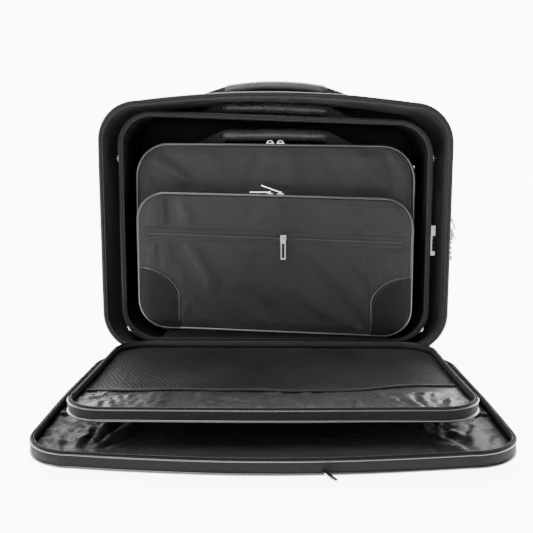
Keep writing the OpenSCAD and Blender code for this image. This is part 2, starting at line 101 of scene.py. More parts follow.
class Outline:
    """A rounded rectangle with a crowned top, seen from the front, sampled evenly."""

    def __init__(self, w, z0, z1, r, crown=0.0, n=360):
        half = w / 2
        pts = [(0, z0)]
        pts += [(half - r + r * sin(a), z0 + r - r * cos(a)) for a in np.linspace(0, pi / 2, 24)]
        pts += [(half - r + r * cos(a), z1 - r + r * sin(a)) for a in np.linspace(0, pi / 2, 24)]
        m = half - r
        pts += [(x, z1 + crown * (1 - (x / m) ** 2)) for x in np.linspace(m, -m, 60)[1:-1]]
        pts += [(-m - r * sin(a), z1 - r + r * cos(a)) for a in np.linspace(0, pi / 2, 24)]
        pts += [(-m - r * cos(a), z0 + r - r * sin(a)) for a in np.linspace(0, pi / 2, 24)]
        pts += [(0, z0)]
        pts = np.array(pts, float)
        s = np.concatenate([[0], np.cumsum(np.linalg.norm(np.diff(pts, axis=0), axis=1))])
        keep = np.concatenate([[True], np.diff(s) > 1e-6])
        s, pts = s[keep], pts[keep]
        self.length = s[-1]
        u = np.arange(n) / n * self.length
        self.p = np.stack([np.interp(u, s, pts[:, 0]), np.interp(u, s, pts[:, 1])], 1)
        t = np.roll(self.p, -2, 0) - np.roll(self.p, 2, 0)
        t /= np.linalg.norm(t, axis=1, keepdims=True)
        self.nrm = np.stack([t[:, 1], -t[:, 0]], 1)
        self.u = u
        self.n = n
        self.mid = np.array([0, (z0 + z1) / 2])

    def ring(self, o, y):
        o = np.broadcast_to(o, (self.n,))
        y = np.broadcast_to(y, (self.n,))
        return np.stack([self.p[:, 0] + self.nrm[:, 0] * o, y, self.p[:, 1] + self.nrm[:, 1] * o], 1)

    def panel(self, ring, steps):
        """Rings that close a flat panel from a given ring to its middle."""
        c = np.array([self.mid[0], 0, self.mid[1]])
        rows = []
        for k in range(1, steps + 1):
            s = 1 - (k / (steps + 0.6))
            r = ring.copy()
            r[:, 0] = c[0] + (ring[:, 0] - c[0]) * s
            r[:, 2] = c[2] + (ring[:, 2] - c[2]) * s
            rows.append(r)
        return rows


def turn_down(co, body):
    if body not in HINGES:
        return co
    y0, z0, ang = HINGES[body]
    a = radians(ang)
    out = co.copy()
    dy, dz = co[..., 1] - y0, co[..., 2] - z0
    out[..., 1] = y0 + dy * cos(a) - dz * sin(a)
    out[..., 2] = z0 + dy * sin(a) + dz * cos(a)
    return out


def settle(co, body):
    """Soft cloth gives way: the standing cases lean a little, the open lids spread."""
    x, z = co[..., 0], co[..., 2]
    out = co.copy()
    if body == "large_lid":
        out[..., 0] = x * (1 + 0.030 * smooth(40, 240, z))
        out[..., 1] += 3.5 * smooth(-40, 230, x) * smooth(150, 376, z)
    elif body == "medium_lid":
        out[..., 0] = x * (1 - 0.014 * smooth(60, 250, z))
        out[..., 1] += 2.5 * smooth(-40, 207, x) * smooth(120, 347, z)
    elif body in ("large_case", "large_handle"):
        out[..., 2] -= 0.009 * x * smooth(60, 340, z)
    elif body in ("medium_case", "medium_handle"):
        out[..., 2] -= 0.036 * x * smooth(60, 250, z)
    elif body in ("small_case", "small_lid", "small_handle"):
        out[..., 2] -= (0.036 - 0.026 * smooth(190, 310, z)) * x
    return out


def to_frame(co):
    out = np.asarray(co, float).copy()
    out[..., 1] += SET_BACK
    return out / 1000.0


def add_mesh(name, co, faces, uv=None, mat=None, body=None, replaces=(), smooth_shade=True):
    co = to_frame(turn_down(settle(np.asarray(co, float), body), body))
    me = bpy.data.meshes.new(name)
    me.from_pydata(co.tolist(), [], [list(map(int, f)) for f in faces])
    if uv is not None:
        layer = me.uv_layers.new(name="UVMap")
        layer.data.foreach_set("uv", np.asarray(uv, np.float32).ravel())
    me.update()
    if smooth_shade:
        me.polygons.foreach_set("use_smooth", [True] * len(me.polygons))
    ob = bpy.data.objects.new(name, me)
    bpy.context.scene.collection.objects.link(ob)
    if mat is not None:
        me.materials.append(mat)
    if body:
        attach(ob, body)
    if replaces:
        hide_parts(*replaces)
    return ob


def loft(name, rows, closed_u=True, closed_v=False, ends=(0, 0), uv_plane=None, **kw):
    """Skins rows of points. uv in metres: arc length by profile length, or (x, z) for rows in uv_plane."""
    g = np.array(rows, float)
    R, N = g.shape[:2]
    du = np.linalg.norm(np.roll(g, -1, 1) - g, axis=2)
    big = int(np.argmax(du.sum(1)))
    arc = np.concatenate([[0], np.cumsum(du[big])]) / 1000
    dv = np.linalg.norm(np.diff(g, axis=0), axis=2).mean(1)
    prof = np.concatenate([[0], np.cumsum(dv)]) / 1000
    co = g.reshape(-1, 3)
    faces, uv = [], []
    cols = N if closed_u else N - 1
    rws = R if closed_v else R - 1
    plane = set(uv_plane or ())
    step = dv.mean() / 1000 if closed_v else 0
    for k in range(rws):
        k2 = (k + 1) % R
        for j in range(cols):
            j2 = (j + 1) % N
            faces.append((k * N + j, k * N + j2, k2 * N + j2, k2 * N + j))
            if k in plane:
                for (a, b) in ((k, j), (k, j2), (k2, j2), (k2, j)):
                    uv.append((g[a, b, 0] / 1000, g[a, b, 2] / 1000))
            else:
                va, vb = prof[k], prof[k] + step if k2 == 0 else prof[k2]
                uv += [(arc[j], va), (arc[j + 1], va), (arc[j + 1], vb), (arc[j], vb)]
    extra = []
    for flag, k, flip in ((ends[0], 0, True), (ends[1], R - 1, False)):
        if flag:
            c = g[k].mean(0)
            ci = len(co) + len(extra)
            extra.append(c)
            for j in range(N):
                j2 = (j + 1) % N
                tri = (k * N + j, k * N + j2, ci)
                pts = [g[k, j], g[k, j2], c]
                if flip:
                    tri, pts = tri[::-1], pts[::-1]
                faces.append(tri)
                uv += [(q[0] / 1000, q[2] / 1000) for q in pts]
    if extra:
        co = np.vstack([co, extra])
    return add_mesh(name, co, faces, uv, **kw)


def wrap(name, rows, **kw):
    """A thin closed piece: rows of points go round it, open along each row."""
    return loft(name, rows, closed_u=False, closed_v=True, **kw)


def turn(n):
    """n angles round a full circle."""
    return np.linspace(0, 2 * pi, n, endpoint=False)


def cyl_profile(o, y, r, n=12):
    return [(o + r * cos(a), y + r * sin(a)) for a in turn(n)]


def sweep(name, ol, prof, closed=True, wobble=0.0, seed=0, **kw):
    rows = []
    for (o, y) in prof:
        rows.append(ol.ring(o, y))
    g = np.array(rows)
    if wobble:
        g += (ol.ring(1, 0) - ol.ring(0, 0))[None] * (value_noise(g, 45, seed) * wobble)[..., None]
    return loft(name, g[::-1], closed_v=closed, **kw)


# --- materials

class Mat:
    """A Principled material and the nodes that feed it."""

    def __init__(self, name):
        self.material = bpy.data.materials.new(name)
        self.material.use_nodes = True
        self.nt = self.material.node_tree
        self.nt.nodes.clear()
        out = self.add("OutputMaterial")
        self.bsdf = self.add("BsdfPrincipled")
        self.join(self.bsdf.outputs[0], out.inputs[0])

    def add(self, kind):
        return self.nt.nodes.new("ShaderNode" + kind)

    def join(self, a, b):
        self.nt.links.new(a, b)

    def feed(self, value, socket):
        self.join(value, self.bsdf.inputs[socket])

    def coords(self, kind, scale=1.0):
        tc, mp = self.add("TexCoord"), self.add("Mapping")
        mp.inputs["Scale"].default_value = scale if hasattr(scale, "__len__") else (scale, scale, scale)
        self.join(tc.outputs[kind], mp.inputs[0])
        return mp.outputs[0]

    def axes(self, vec):
        sep = self.add("SeparateXYZ")
        self.join(vec, sep.inputs[0])
        return sep.outputs

    def noise(self, vec, scale, detail=3.0, rough=0.5):
        n = self.add("TexNoise")
        n.inputs["Scale"].default_value = scale
        n.inputs["Detail"].default_value = detail
        n.inputs["Roughness"].default_value = rough
        self.join(vec, n.inputs["Vector"])
        return n.outputs[0]

    def calc(self, op, *values):
        n = self.add("Math")
        n.operation = op
        for socket, v in zip(n.inputs, values):
            if isinstance(v, (int, float)):
                socket.default_value = v
            else:
                self.join(v, socket)
        return n.outputs[0]

    def ramp(self, fac, start, end):
        """Blends two colours; start and end are (position, colour)."""
        n = self.add("ValToRGB")
        for e, (pos, colour) in zip(n.color_ramp.elements, (start, end)):
            e.position = pos
            e.color = (*colour, 1)
        self.join(fac, n.inputs[0])
        return n.outputs[0]

    def mix(self, fac, a, b):
        n = self.add("Mix")
        n.data_type = "RGBA"
        for socket, v in ((n.inputs[0], fac), (n.inputs[6], a), (n.inputs[7], b)):
            if isinstance(v, tuple):
                socket.default_value = (*v, 1)
            else:
                self.join(v, socket)
        return n.outputs[2]

    def bump(self, height, strength, distance, under=None):
        n = self.add("Bump")
        n.inputs["Strength"].default_value = strength
        n.inputs["Distance"].default_value = distance
        self.join(height, n.inputs["Height"])
        if under is not None:
            self.join(under, n.inputs["Normal"])
        self.feed(n.outputs[0], "Normal")
        return n.outputs[0]

    def set(self, **values):
        names = {"rough": "Roughness", "metal": "Metallic", "spec": "Specular IOR Level", "sheen": "Sheen Weight",
                 "sheen_rough": "Sheen Roughness", "coat": "Coat Weight", "coat_rough": "Coat Roughness",
                 "aniso": "Anisotropic"}
        for k, v in values.items():
            self.bsdf.inputs[names[k]].default_value = v


def times(colour, k):
    return tuple(c * k for c in colour)


def weave(m, vec, pitch):
    """Over-and-under weave height from UVs in metres; pitch is one thread."""
    axis = m.axes(vec)
    u = m.calc("MULTIPLY", axis[0], pi / pitch)
    v = m.calc("MULTIPLY", axis[1], pi / pitch)
    wu = m.calc("ABSOLUTE", m.calc("SINE", u))
    wv = m.calc("ABSOLUTE", m.calc("SINE", v))
    ch = m.add("TexChecker")
    ch.inputs["Scale"].default_value = 1.0 / pitch
    m.join(vec, ch.inputs["Vector"])
    a = m.calc("MULTIPLY", wu, ch.outputs["Fac"])
    inv = m.calc("SUBTRACT", 1.0, ch.outputs["Fac"])
    b = m.calc("MULTIPLY", wv, inv)
    return m.calc("ADD", a, b)


def cloth_mat(name, dark, light, pitch=0.0011, rough=0.72, sheen=0.0, spec=0.35):
    m = Mat(name)
    uv = m.coords("UV")
    ob = m.coords("Object")
    h = weave(m, uv, pitch)
    fine = m.noise(uv, 900, 2.0)
    big = m.noise(ob, 9, 4.0)
    mix = m.calc("MULTIPLY_ADD", h, 0.55, m.calc("MULTIPLY", fine, 0.55))
    mix2 = m.calc("MULTIPLY_ADD", big, 0.35, m.calc("MULTIPLY", mix, 0.75))
    grain = m.noise(m.coords("UV", (1.0, 1.6, 1.0)), 520, 3.0, 0.7)
    mix2 = m.calc("MULTIPLY_ADD", grain, 0.9, m.calc("MULTIPLY_ADD", mix2, 0.7, -0.30))
    col = m.ramp(mix2, (0.30, dark), (0.72, light))
    m.feed(col, "Base Color")
    r = m.calc("MULTIPLY_ADD", fine, 0.14, rough - 0.07)
    m.feed(r, "Roughness")
    m.set(sheen=sheen, sheen_rough=0.45, spec=spec)
    n1 = m.bump(m.noise(ob, 34, 4.0), 0.25, 0.0016)
    m.bump(m.calc("ADD", h, m.calc("MULTIPLY", fine, 0.4)), 0.5, 0.0004, n1)
    return m.material


def vinyl_mat(name, base, rough):
    m = Mat(name)
    ob = m.coords("Object")
    n = m.noise(ob, 260, 3.0)
    big = m.noise(ob, 16, 3.0)
    col = m.ramp(big, (0.3, base), (0.75, times(base, 1.9)))
    m.feed(col, "Base Color")
    m.feed(m.calc("MULTIPLY_ADD", big, 0.22, rough - 0.08), "Roughness")
    m.set(coat=0.25, coat_rough=0.2, spec=0.5)
    m.bump(n, 0.15, 0.0004)
    return m.material


def leather_mat(name, base, rough, spec):
    m = Mat(name)
    ob = m.coords("Object")
    v = m.add("TexVoronoi")
    v.feature = "DISTANCE_TO_EDGE"
    v.inputs["Scale"].default_value = 620
    m.join(ob, v.inputs["Vector"])
    cell = m.calc("MINIMUM", m.calc("MULTIPLY", v.outputs["Distance"], 5.0), 1.0)
    big = m.noise(ob, 26, 4.0)
    col = m.ramp(big, (0.3, base), (0.8, times(base, 2.1)))
    col = m.mix(cell, (0.004, 0.004, 0.004), col)
    m.feed(col, "Base Color")
    m.feed(m.calc("MULTIPLY_ADD", big, 0.2, rough - 0.1), "Roughness")
    m.set(spec=spec)
    n1 = m.bump(big, 0.3, 0.002)
    m.bump(cell, 0.45, 0.0003, n1)
    return m.material


def satin_mat(name, dark, light, rough, sheen=0.06, spec=0.24, middle=None):
    m = Mat(name)
    uv = m.coords("UV")
    ob = m.coords("Object")
    threads = m.noise(m.coords("UV", (1800, 300, 1)), 1.0, 2.0)
    big = m.noise(ob, 12, 4.0)
    f = m.calc("MULTIPLY_ADD", threads, 0.35, m.calc("MULTIPLY", big, 0.65))
    col = m.ramp(f, (0.3, dark), (0.75, light))
    r_out = m.calc("MULTIPLY_ADD", threads, 0.12, rough - 0.06)
    if middle:
        # a darker, duller panel sewn between the two shiny ends
        axis = m.axes(uv)
        far = m.calc("MULTIPLY_ADD", m.noise(ob, 8, 3.0), 0.07, m.calc("ABSOLUTE", axis[0]))
        side = m.ramp(far, (0.165, (0, 0, 0)), (0.215, (1, 1, 1)))
        col = m.mix(side, m.ramp(f, (0.3, middle[0]), (0.75, middle[1])), col)
        r_out = m.calc("ADD", r_out, m.calc("MULTIPLY_ADD", side, -0.2, 0.2))
    m.feed(col, "Base Color")
    m.feed(r_out, "Roughness")
    m.set(sheen=sheen, sheen_rough=0.3, spec=spec, aniso=0.3)
    m.bump(threads, 0.12, 0.0003)
    return m.material


def mesh_mat(name, pitch, colour):
    m = Mat(name)
    uv = m.coords("UV")
    axis = m.axes(uv)
    a = m.calc("ADD", axis[0], m.calc("MULTIPLY", axis[1], 0.46))
    b = m.calc("SUBTRACT", axis[0], m.calc("MULTIPLY", axis[1], 0.46))
    sa = m.calc("ABSOLUTE", m.calc("SINE", m.calc("MULTIPLY", a, pi / pitch)))
    sb = m.calc("ABSOLUTE", m.calc("SINE", m.calc("MULTIPLY", b, pi / pitch)))
    hole = m.calc("MULTIPLY", sa, sb)
    isho = m.calc("GREATER_THAN", hole, 0.42)
    nz = m.noise(m.coords("Object"), 14, 3.0)
    col = m.ramp(nz, (0.3, times(colour, 0.7)), (0.75, times(colour, 1.5)))
    m.feed(col, "Base Color")
    m.set(rough=0.65, spec=0.08)
    m.bump(hole, 0.6, 0.0005)
    m.feed(m.calc("SUBTRACT", 1.0, m.calc("MULTIPLY", isho, 0.85)), "Alpha")
    return m.material


def ribbed_mat(name, colour, pitch=0.0022):
    m = Mat(name)
    uv = m.coords("UV")
    axis = m.axes(uv)
    rib = m.calc("ABSOLUTE", m.calc("SINE", m.calc("MULTIPLY", axis[1], pi / pitch)))
    h = m.calc("ADD", rib, m.calc("MULTIPLY", weave(m, uv, pitch / 2), 0.4))
    nz = m.noise(m.coords("Object"), 40, 3.0)
    f = m.calc("MULTIPLY_ADD", rib, 0.5, m.calc("MULTIPLY", nz, 0.6))
    col = m.ramp(f, (0.25, times(colour, 0.6)), (0.9, times(colour, 1.7)))
    m.feed(col, "Base Color")
    m.set(rough=0.6, sheen=0.04, spec=0.2)
    m.bump(h, 0.6, 0.0006)
    return m.material


def metal_mat(name, colour, rough, streak):
    m = Mat(name)
    nz = m.noise(m.coords("Object", (900, 900, 60)), 1.0, 3.0)
    big = m.noise(m.coords("Object"), 120, 4.0)
    col = m.ramp(big, (0.3, times(colour, 0.82)), (0.7, colour))
    m.feed(col, "Base Color")
    m.feed(m.calc("MULTIPLY_ADD", nz, streak, rough), "Roughness")
    m.set(metal=1.0)
    m.bump(nz, 0.08, 0.0002)
    return m.material


def plastic_mat(name, colour, rough=0.5, scale=900, strength=0.25):
    m = Mat(name)
    ob = m.coords("Object")
    nz = m.noise(ob, scale, 2.0)
    big = m.noise(ob, 30, 4.0)
    col = m.ramp(big, (0.3, times(colour, 0.8)), (0.75, times(colour, 1.4)))
    m.feed(col, "Base Color")
    m.feed(m.calc("MULTIPLY_ADD", big, 0.18, rough - 0.09), "Roughness")
    m.set(spec=0.45)
    m.bump(nz, strength, 0.0003)
    return m.material


M = {
    "cloth": cloth_mat("black_woven_cloth", (0.0034, 0.0036, 0.0042), (0.0120, 0.0123, 0.0138), rough=0.66, spec=0.10),
    # the next entry is the case cloth made darker for the lid trays and the lid pocket: painted shade on faces turned
    # down towards the floor
    "cloth_lid_shaded": cloth_mat("black_woven_lid_painted_shade", (0.0013, 0.0014, 0.0016), (0.0050, 0.0051, 0.0056), rough=0.66, spec=0.07),
    "cloth_front": cloth_mat("black_woven_front", (0.0042, 0.0042, 0.0043), (0.0150, 0.0150, 0.0152), rough=0.50,
                             spec=0.14),
    "binding": ribbed_mat("binding_tape", (0.0075, 0.0075, 0.0078), 0.0016),
    "vinyl": vinyl_mat("black_piping_vinyl", (0.0050, 0.0050, 0.0054), 0.30),
    "leather": leather_mat("black_grained_leather", (0.0028, 0.0028, 0.0030), 0.52, 0.10),
    "top_leather": leather_mat("top_grip_leather", (0.0180, 0.0182, 0.0195), 0.34, 0.5),
    # the next entry is the grip leather made much lighter for the medium and small grips: painted light standing in for
    # the light that the large case's top keeps off them
    "grip_leather": leather_mat("grip_leather_painted_light", (0.0640, 0.0645, 0.0680), 0.28, 0.7),
    "satin": satin_mat("grey_satin_lining", (0.0095, 0.0108, 0.0102), (0.0300, 0.0340, 0.0315), rough=0.44),
    "satin_large": satin_mat("large_lid_satin_cloth", (0.0060, 0.0068, 0.0064), (0.0190, 0.0214, 0.0200), 0.54, 0.0, 0.11,
                             middle=((0.0120, 0.0128, 0.0134), (0.0270, 0.0286, 0.0294))),
    "satin_dark": satin_mat("dark_lining", (0.0085, 0.0090, 0.0100), (0.0220, 0.0230, 0.0250), rough=0.6),
    "mesh": mesh_mat("pocket_net", 0.0054, (0.020, 0.0205, 0.020)),
    "webbing": ribbed_mat("black_webbing", (0.019, 0.019, 0.0195)),
    "tape": ribbed_mat("zip_tape", (0.0085, 0.0085, 0.0090), 0.0012),
    "coil": plastic_mat("zip_coil", (0.0095, 0.0095, 0.0100), 0.4, 1500, 0.1),
    "chrome": metal_mat("bright_chrome", (0.52, 0.52, 0.54), 0.16, 0.10),
    "lock": metal_mat("satin_nickel", (0.26, 0.26, 0.27), 0.26, 0.12),
    "steel": metal_mat("brushed_steel", (0.5, 0.5, 0.51), 0.24, 0.2),
    "plastic": plastic_mat("moulded_plastic", (0.010, 0.010, 0.0105)),
    "dial": plastic_mat("dial_plastic", (0.012, 0.012, 0.0125), 0.3, 1400, 0.1),
    "tyre": plastic_mat("wheel_rubber", (0.010, 0.010, 0.010), 0.75, 400, 0.4),
    "thread": cloth_mat("stitch_thread", (0.020, 0.020, 0.020), (0.060, 0.060, 0.060), 0.0006, sheen=0.05, spec=0.2),
}

CAD_LOOK = {
    "lock": ["large_lock_body", "medium_lock_body", "small_slash_slider", "small_slash_pull"],
    "chrome": ["large_side_sliders", "medium_d_rings", "medium_sliders",
               "small_d_rings", "small_sliders", "small_pocket_pull_left", "small_pocket_pull_right",
               "large_side_pull_upper", "large_side_pull_lower"],
    "steel": ["trolley_outer_tubes", "trolley_mid_tubes", "trolley_inner_tubes", "wheel_axles", "trolley_button"],
    "plastic": ["large_feet", "wheel_housings", "trolley_bezel", "trolley_grip", "wheel_left", "wheel_right"],
    "dial": ["large_dial_1", "large_dial_2", "large_dial_3", "medium_dial_1", "medium_dial_2", "medium_dial_3"],
    "tyre": ["tyre_left", "tyre_right"],
}
for key, names in CAD_LOOK.items():
    for n in names:
        o = NODES[n]
        if not o.material_slots:
            o.data.materials.append(M[key])
        for s in o.material_slots:
            s.material = M[key]


# --- outlines

O_LARGE = Outline(*LARGE)
O_MEDIUM = Outline(*MEDIUM)
O_SMALL = Outline(*SMALL)
O_SMALL_LID = Outline(*SMALL_LID)
O_POCKET = Outline(*POCKET)


def fine(o_args, pitch=2.4):
    o = Outline(*o_args)
    return Outline(*o_args, n=int(o.length / pitch * 4))


def case_shell(name, ol, y_rim, y_back, wall, mat, body, replaces, puff=1.2, seed=1, steps=12,
               back_bulge=2.0):
    """A padded soft wall: inner face, rolled rim, outer face and the closing panel. y_back may be in front."""
    s = 1 if y_back > y_rim else -1
    inner_floor = y_back - s * wall
    prof = []
    depth = abs(y_back - y_rim)
    for t in np.linspace(1, 0, steps):
        prof.append((-wall, y_rim + s * 1.6 + (inner_floor - y_rim - s * 1.6) * t, 0.0))
    for a in np.linspace(pi, 0, 7)[1:-1]:
        prof.append((-wall / 2 + wall / 2 * cos(a), y_rim + s * (1.6 - 1.6 * sin(a)), 0.0))
    rad = min(5.0, depth * 0.25)
    for t in np.linspace(0, 1, steps):
        prof.append((0.0, y_rim + s * 1.6 + (y_back - s * rad - y_rim - s * 1.6) * t, sin(pi * t)))
    for a in np.linspace(0, pi / 2, 6)[1:]:
        prof.append((-rad + rad * cos(a), y_back - s * rad + s * rad * sin(a), 0.0))
    rows = []
    for o, y, w in prof:
        r = ol.ring(0, y)
        d = w * puff * (0.45 + 0.55 * fbm(r, 70, 3, seed)) if w else 0.0
        rows.append(ol.ring(o + d, y))
    first = ol.panel(rows[0], 10)[::-1]
    last = ol.panel(rows[-1], 12)
    for k, r in enumerate(last):
        w = sin(pi / 2 * (k + 1) / 12)
        r[:, 1] += s * w * back_bulge * (0.6 + 0.4 * fbm(r, 90, 3, seed + 5))
    rows = first + rows + last
    nf, nl = len(first), len(last)
    plane = list(range(0, nf)) + list(range(len(rows) - nl - 1, len(rows)))
    if s < 0:
        rows = rows[::-1]
        plane = [len(rows) - 1 - k for k in plane]
    return loft(name, rows[::-1], ends=(1, 1), uv_plane=[len(rows) - 2 - k for k in plane],
                mat=mat, body=body, replaces=replaces)


def piping(name, ol, y, r, body, replaces=(), out=0.0, seed=3):
    """A round welt round an outline."""
    prof = cyl_profile(out, y, r, 14)
    return sweep(name, ol, prof, wobble=0.25, seed=seed, mat=M["vinyl"], body=body, replaces=replaces)


def zip_ring(name, args, y, width, body, off=0.0, replaces=(), thick=0.9, coil_r=1.1,
             flat=False):
    """Tape with a toothed coil along its middle. flat: the tape lies across the depth, coil on the outside."""
    ol = Outline(*args)
    if flat:
        low, high = y - width / 2, y + width / 2
        prof = [(off - thick, low), (off, low), (off, high), (off - thick, high)]
    else:
        prof = [(off, y), (off, y + width), (off - thick, y + width), (off - thick, y)]
    tape = sweep(name + "_tape", ol, prof, mat=M["tape"], body=body, replaces=replaces)
    of = fine(args)
    phase = of.u / of.length * 2 * pi * round(of.length / 2.4)
    mod = 0.75 + 0.25 * np.cos(phase)
    rows = []
    cy = y if flat else y + 0.9
    for a in turn(8):
        o = off + (coil_r * 0.5 * np.cos(a)) * mod + (0.1 if flat else -thick / 2)
        yy = cy + coil_r * 1.15 * sin(a) * mod
        rows.append(np.stack([of.p[:, 0] + of.nrm[:, 0] * o, yy, of.p[:, 1] + of.nrm[:, 1] * o], 1))
    coil = loft(name + "_coil", rows[::-1], closed_v=True, mat=M["coil"], body=body)
    return tape, coil


def cut_boxes(ob, boxes):
    """Takes boxes (mm, body frame) out of a mesh."""
    for k, (x0, x1, y0, y1, z0, z1) in enumerate(boxes):
        c = [(x, y, z) for x in (x0, x1) for y in (y0, y1) for z in (z0, z1)]
        f = [(0, 1, 3, 2), (4, 6, 7, 5), (0, 4, 5, 1), (2, 3, 7, 6), (0, 2, 6, 4), (1, 5, 7, 3)]
        cutter = add_mesh("cutter", c, f, smooth_shade=False)
        mod = ob.modifiers.new("cut", "BOOLEAN")
        mod.object = cutter
        mod.solver = "EXACT"
        dg = bpy.context.evaluated_depsgraph_get()
        new = bpy.data.meshes.new_from_object(ob.evaluated_get(dg))
        ob.modifiers.clear()
        old = ob.data
        ob.data = new
        bpy.data.meshes.remove(old)
        me = cutter.data
        bpy.data.objects.remove(cutter)
        bpy.data.meshes.remove(me)


# --- large case

shell = case_shell("large_padded_shell", O_LARGE, 0.0, 215.0, 4.5, M["cloth"], "large_case", ["large_shell"],
                   steps=16)
cut_boxes(shell, [(-190.3, -149.7, 171.7, 240, 20, 58.3), (149.7, 190.3, 171.7, 240, 20, 58.3),
                  (-105.2, 105.2, 183.8, 210.2, 343, 420)])
piping("large_rim_welt", O_LARGE, 3.0, 1.6, "large_case", ["large_rim_piping"], out=-0.5)
piping("large_back_welt", O_LARGE, 211.5, 2.0, "large_case", out=-0.9, seed=9)
zip_ring("large_rim_zip", (450.8, 38.6, 359.4, 47.4, 12), 0.4, 10.5, "large_case",
         replaces=["large_zip_tape"], thick=0.8)
zip_ring("large_side_zip_ring", LARGE, 13.0, 7.4, "large_case", off=0.1,
         replaces=["large_side_zip"], flat=True)


def lining_box(name, ol, y0, y1, mat, body, replaces, seed, amp=1.6, steps=18):
    rows = []
    for t in np.linspace(0, 1, steps):
        y = y0 + (y1 - y0) * t
        r = ol.ring(0, y)
        w = sin(pi * t) ** 0.6 if 0 < t < 1 else 0.0
        fold = creases(r * np.array([1, 0.35, 1]), 34, seed) * 0.8 + fbm(r, 40, 2, seed + 1) * 0.5
        rows.append(ol.ring(-np.clip(w * amp * (0.5 + fold), 0, 2.6), y))
    back = ol.panel(rows[-1], 8)
    inner = rows + back
    return loft(name, inner, ends=(0, 1), mat=mat, body=body, replaces=replaces,
                uv_plane=range(len(rows) - 1, len(inner)))


O_LARGE_IN = Outline(*LARGE_IN)
lining_box("large_inner_lining", O_LARGE_IN, 11.5, 170.0, M["satin_dark"], "large_case", ["large_lining"], 4)

bpy.context.view_layer.update()


def half_widths(ring, z):
    """Half the width of a ring at height z."""
    right = ring[ring[:, 0] >= -1e-6]
    order = np.argsort(right[:, 2])
    return np.maximum(np.interp(z, right[order, 2], right[order, 0]), 3.0)


def panel_grid(ol, inset, nx, nz, y):
    """A grid over an outline's inside, squeezed to its rounded edge; returns (nz, nx, 3) points."""
    ring = ol.ring(-inset, y)
    zs = np.linspace(ring[:, 2].min() + 0.02, ring[:, 2].max() - 0.02, nz)
    half = half_widths(ring, zs)
    g = np.empty((nz, nx, 3))
    g[..., 0] = np.linspace(-half, half, nx, axis=1)
    g[..., 1] = y
    g[..., 2] = zs[:, None]
    return g


def simulate_sheet(g, stretch, frames, seed, push=0.6):
    """Lets a pinned cloth grid (nz, nx, 3 in mm) buckle into folds; returns the new points."""
    nz, nx = g.shape[:2]
    co = g.reshape(-1, 3) / 1000.0
    rng = np.random.RandomState(seed)
    co = co + np.stack([np.zeros(len(co)), rng.uniform(-push, push, len(co)) / 1000, np.zeros(len(co))], 1)
    faces = [(k * nx + j, k * nx + j + 1, (k + 1) * nx + j + 1, (k + 1) * nx + j)
             for k in range(nz - 1) for j in range(nx - 1)]
    me = bpy.data.meshes.new("sim")
    me.from_pydata(co.tolist(), [], faces)
    ob = bpy.data.objects.new("sim", me)
    bpy.context.scene.collection.objects.link(ob)
    vg = ob.vertex_groups.new(name="pin")
    edge = [k * nx + j for k in range(nz) for j in range(nx) if k in (0, nz - 1) or j in (0, nx - 1)]
    vg.add(edge, 1.0, "REPLACE")
    mod = ob.modifiers.new("Cloth", "CLOTH")
    st = mod.settings
    st.vertex_group_mass = "pin"
    st.quality = 5
    st.mass = 0.15
    st.tension_stiffness = 12
    st.compression_stiffness = 12
    st.shear_stiffness = 4
    st.bending_stiffness = 0.02
    st.air_damping = 3
    st.shrink_min = -stretch
    st.shrink_max = -stretch
    st.effector_weights.gravity = 0
    mod.collision_settings.use_collision = False
    mod.collision_settings.use_self_collision = False
    mod.point_cache.frame_start = 1
    mod.point_cache.frame_end = frames
    sc = bpy.context.scene
    for f in range(1, frames + 1):
        sc.frame_set(f)
    dg = bpy.context.evaluated_depsgraph_get()
    ev = ob.evaluated_get(dg)
    out = np.array([v.co for v in ev.data.vertices], float) * 1000
    sc.frame_set(1)
    bpy.data.objects.remove(ob)
    bpy.data.meshes.remove(me)
    return out.reshape(nz, nx, 3)


def sheet_mesh(name, g, thick, mat, body, replaces=(), side=-1):
    """A thin closed cloth sheet from a grid; it thickens towards side * Y."""
    nz, nx = g.shape[:2]
    back = g.copy()
    back[..., 1] -= side * thick
    co = np.vstack([g.reshape(-1, 3), back.reshape(-1, 3)])
    m = nz * nx
    faces, uv = [], []

    def quad(a, b, c, d):
        f = (a, b, c, d)
        faces.append(f)
        uv.extend([(co[i, 0] / 1000, co[i, 2] / 1000) for i in f])

    for k in range(nz - 1):
        for j in range(nx - 1):
            a, b, c, d = k * nx + j, k * nx + j + 1, (k + 1) * nx + j + 1, (k + 1) * nx + j
            quad(a, b, c, d) if side < 0 else quad(d, c, b, a)
            quad(d + m, c + m, b + m, a + m) if side < 0 else quad(a + m, b + m, c + m, d + m)
    rim = [j for j in range(nx)] + [k * nx + nx - 1 for k in range(1, nz)]
    rim += [(nz - 1) * nx + j for j in range(nx - 2, -1, -1)] + [k * nx for k in range(nz - 2, 0, -1)]
    for i, a in enumerate(rim):
        b = rim[(i + 1) % len(rim)]
        quad(b, a, a + m, b + m) if side < 0 else quad(a, b, b + m, a + m)
    return add_mesh(name, co, faces, uv, mat=mat, body=body, replaces=replaces)


def tube_path(name, pts, r, mat, body, n=10, closed=False, modulate=None):
    """A round cord through points (mm)."""
    p = np.asarray(pts, float)
    if closed:
        t = np.roll(p, -1, 0) - np.roll(p, 1, 0)
    else:
        t = np.gradient(p, axis=0)
    t /= np.linalg.norm(t, axis=1, keepdims=True)
    up = np.array([0.13, 0.97, 0.21])
    a = np.cross(t, up)
    a /= np.linalg.norm(a, axis=1, keepdims=True)
    b = np.cross(t, a)
    rows = []
    m = 1.0 if modulate is None else modulate[:, None]
    for ang in turn(n):
        rows.append(p + (a * cos(ang) + b * sin(ang)) * r * m)
    g = np.array(rows).transpose(1, 0, 2)
    return loft(name, g, closed_u=True, closed_v=closed, ends=(not closed, not closed), mat=mat, body=body)


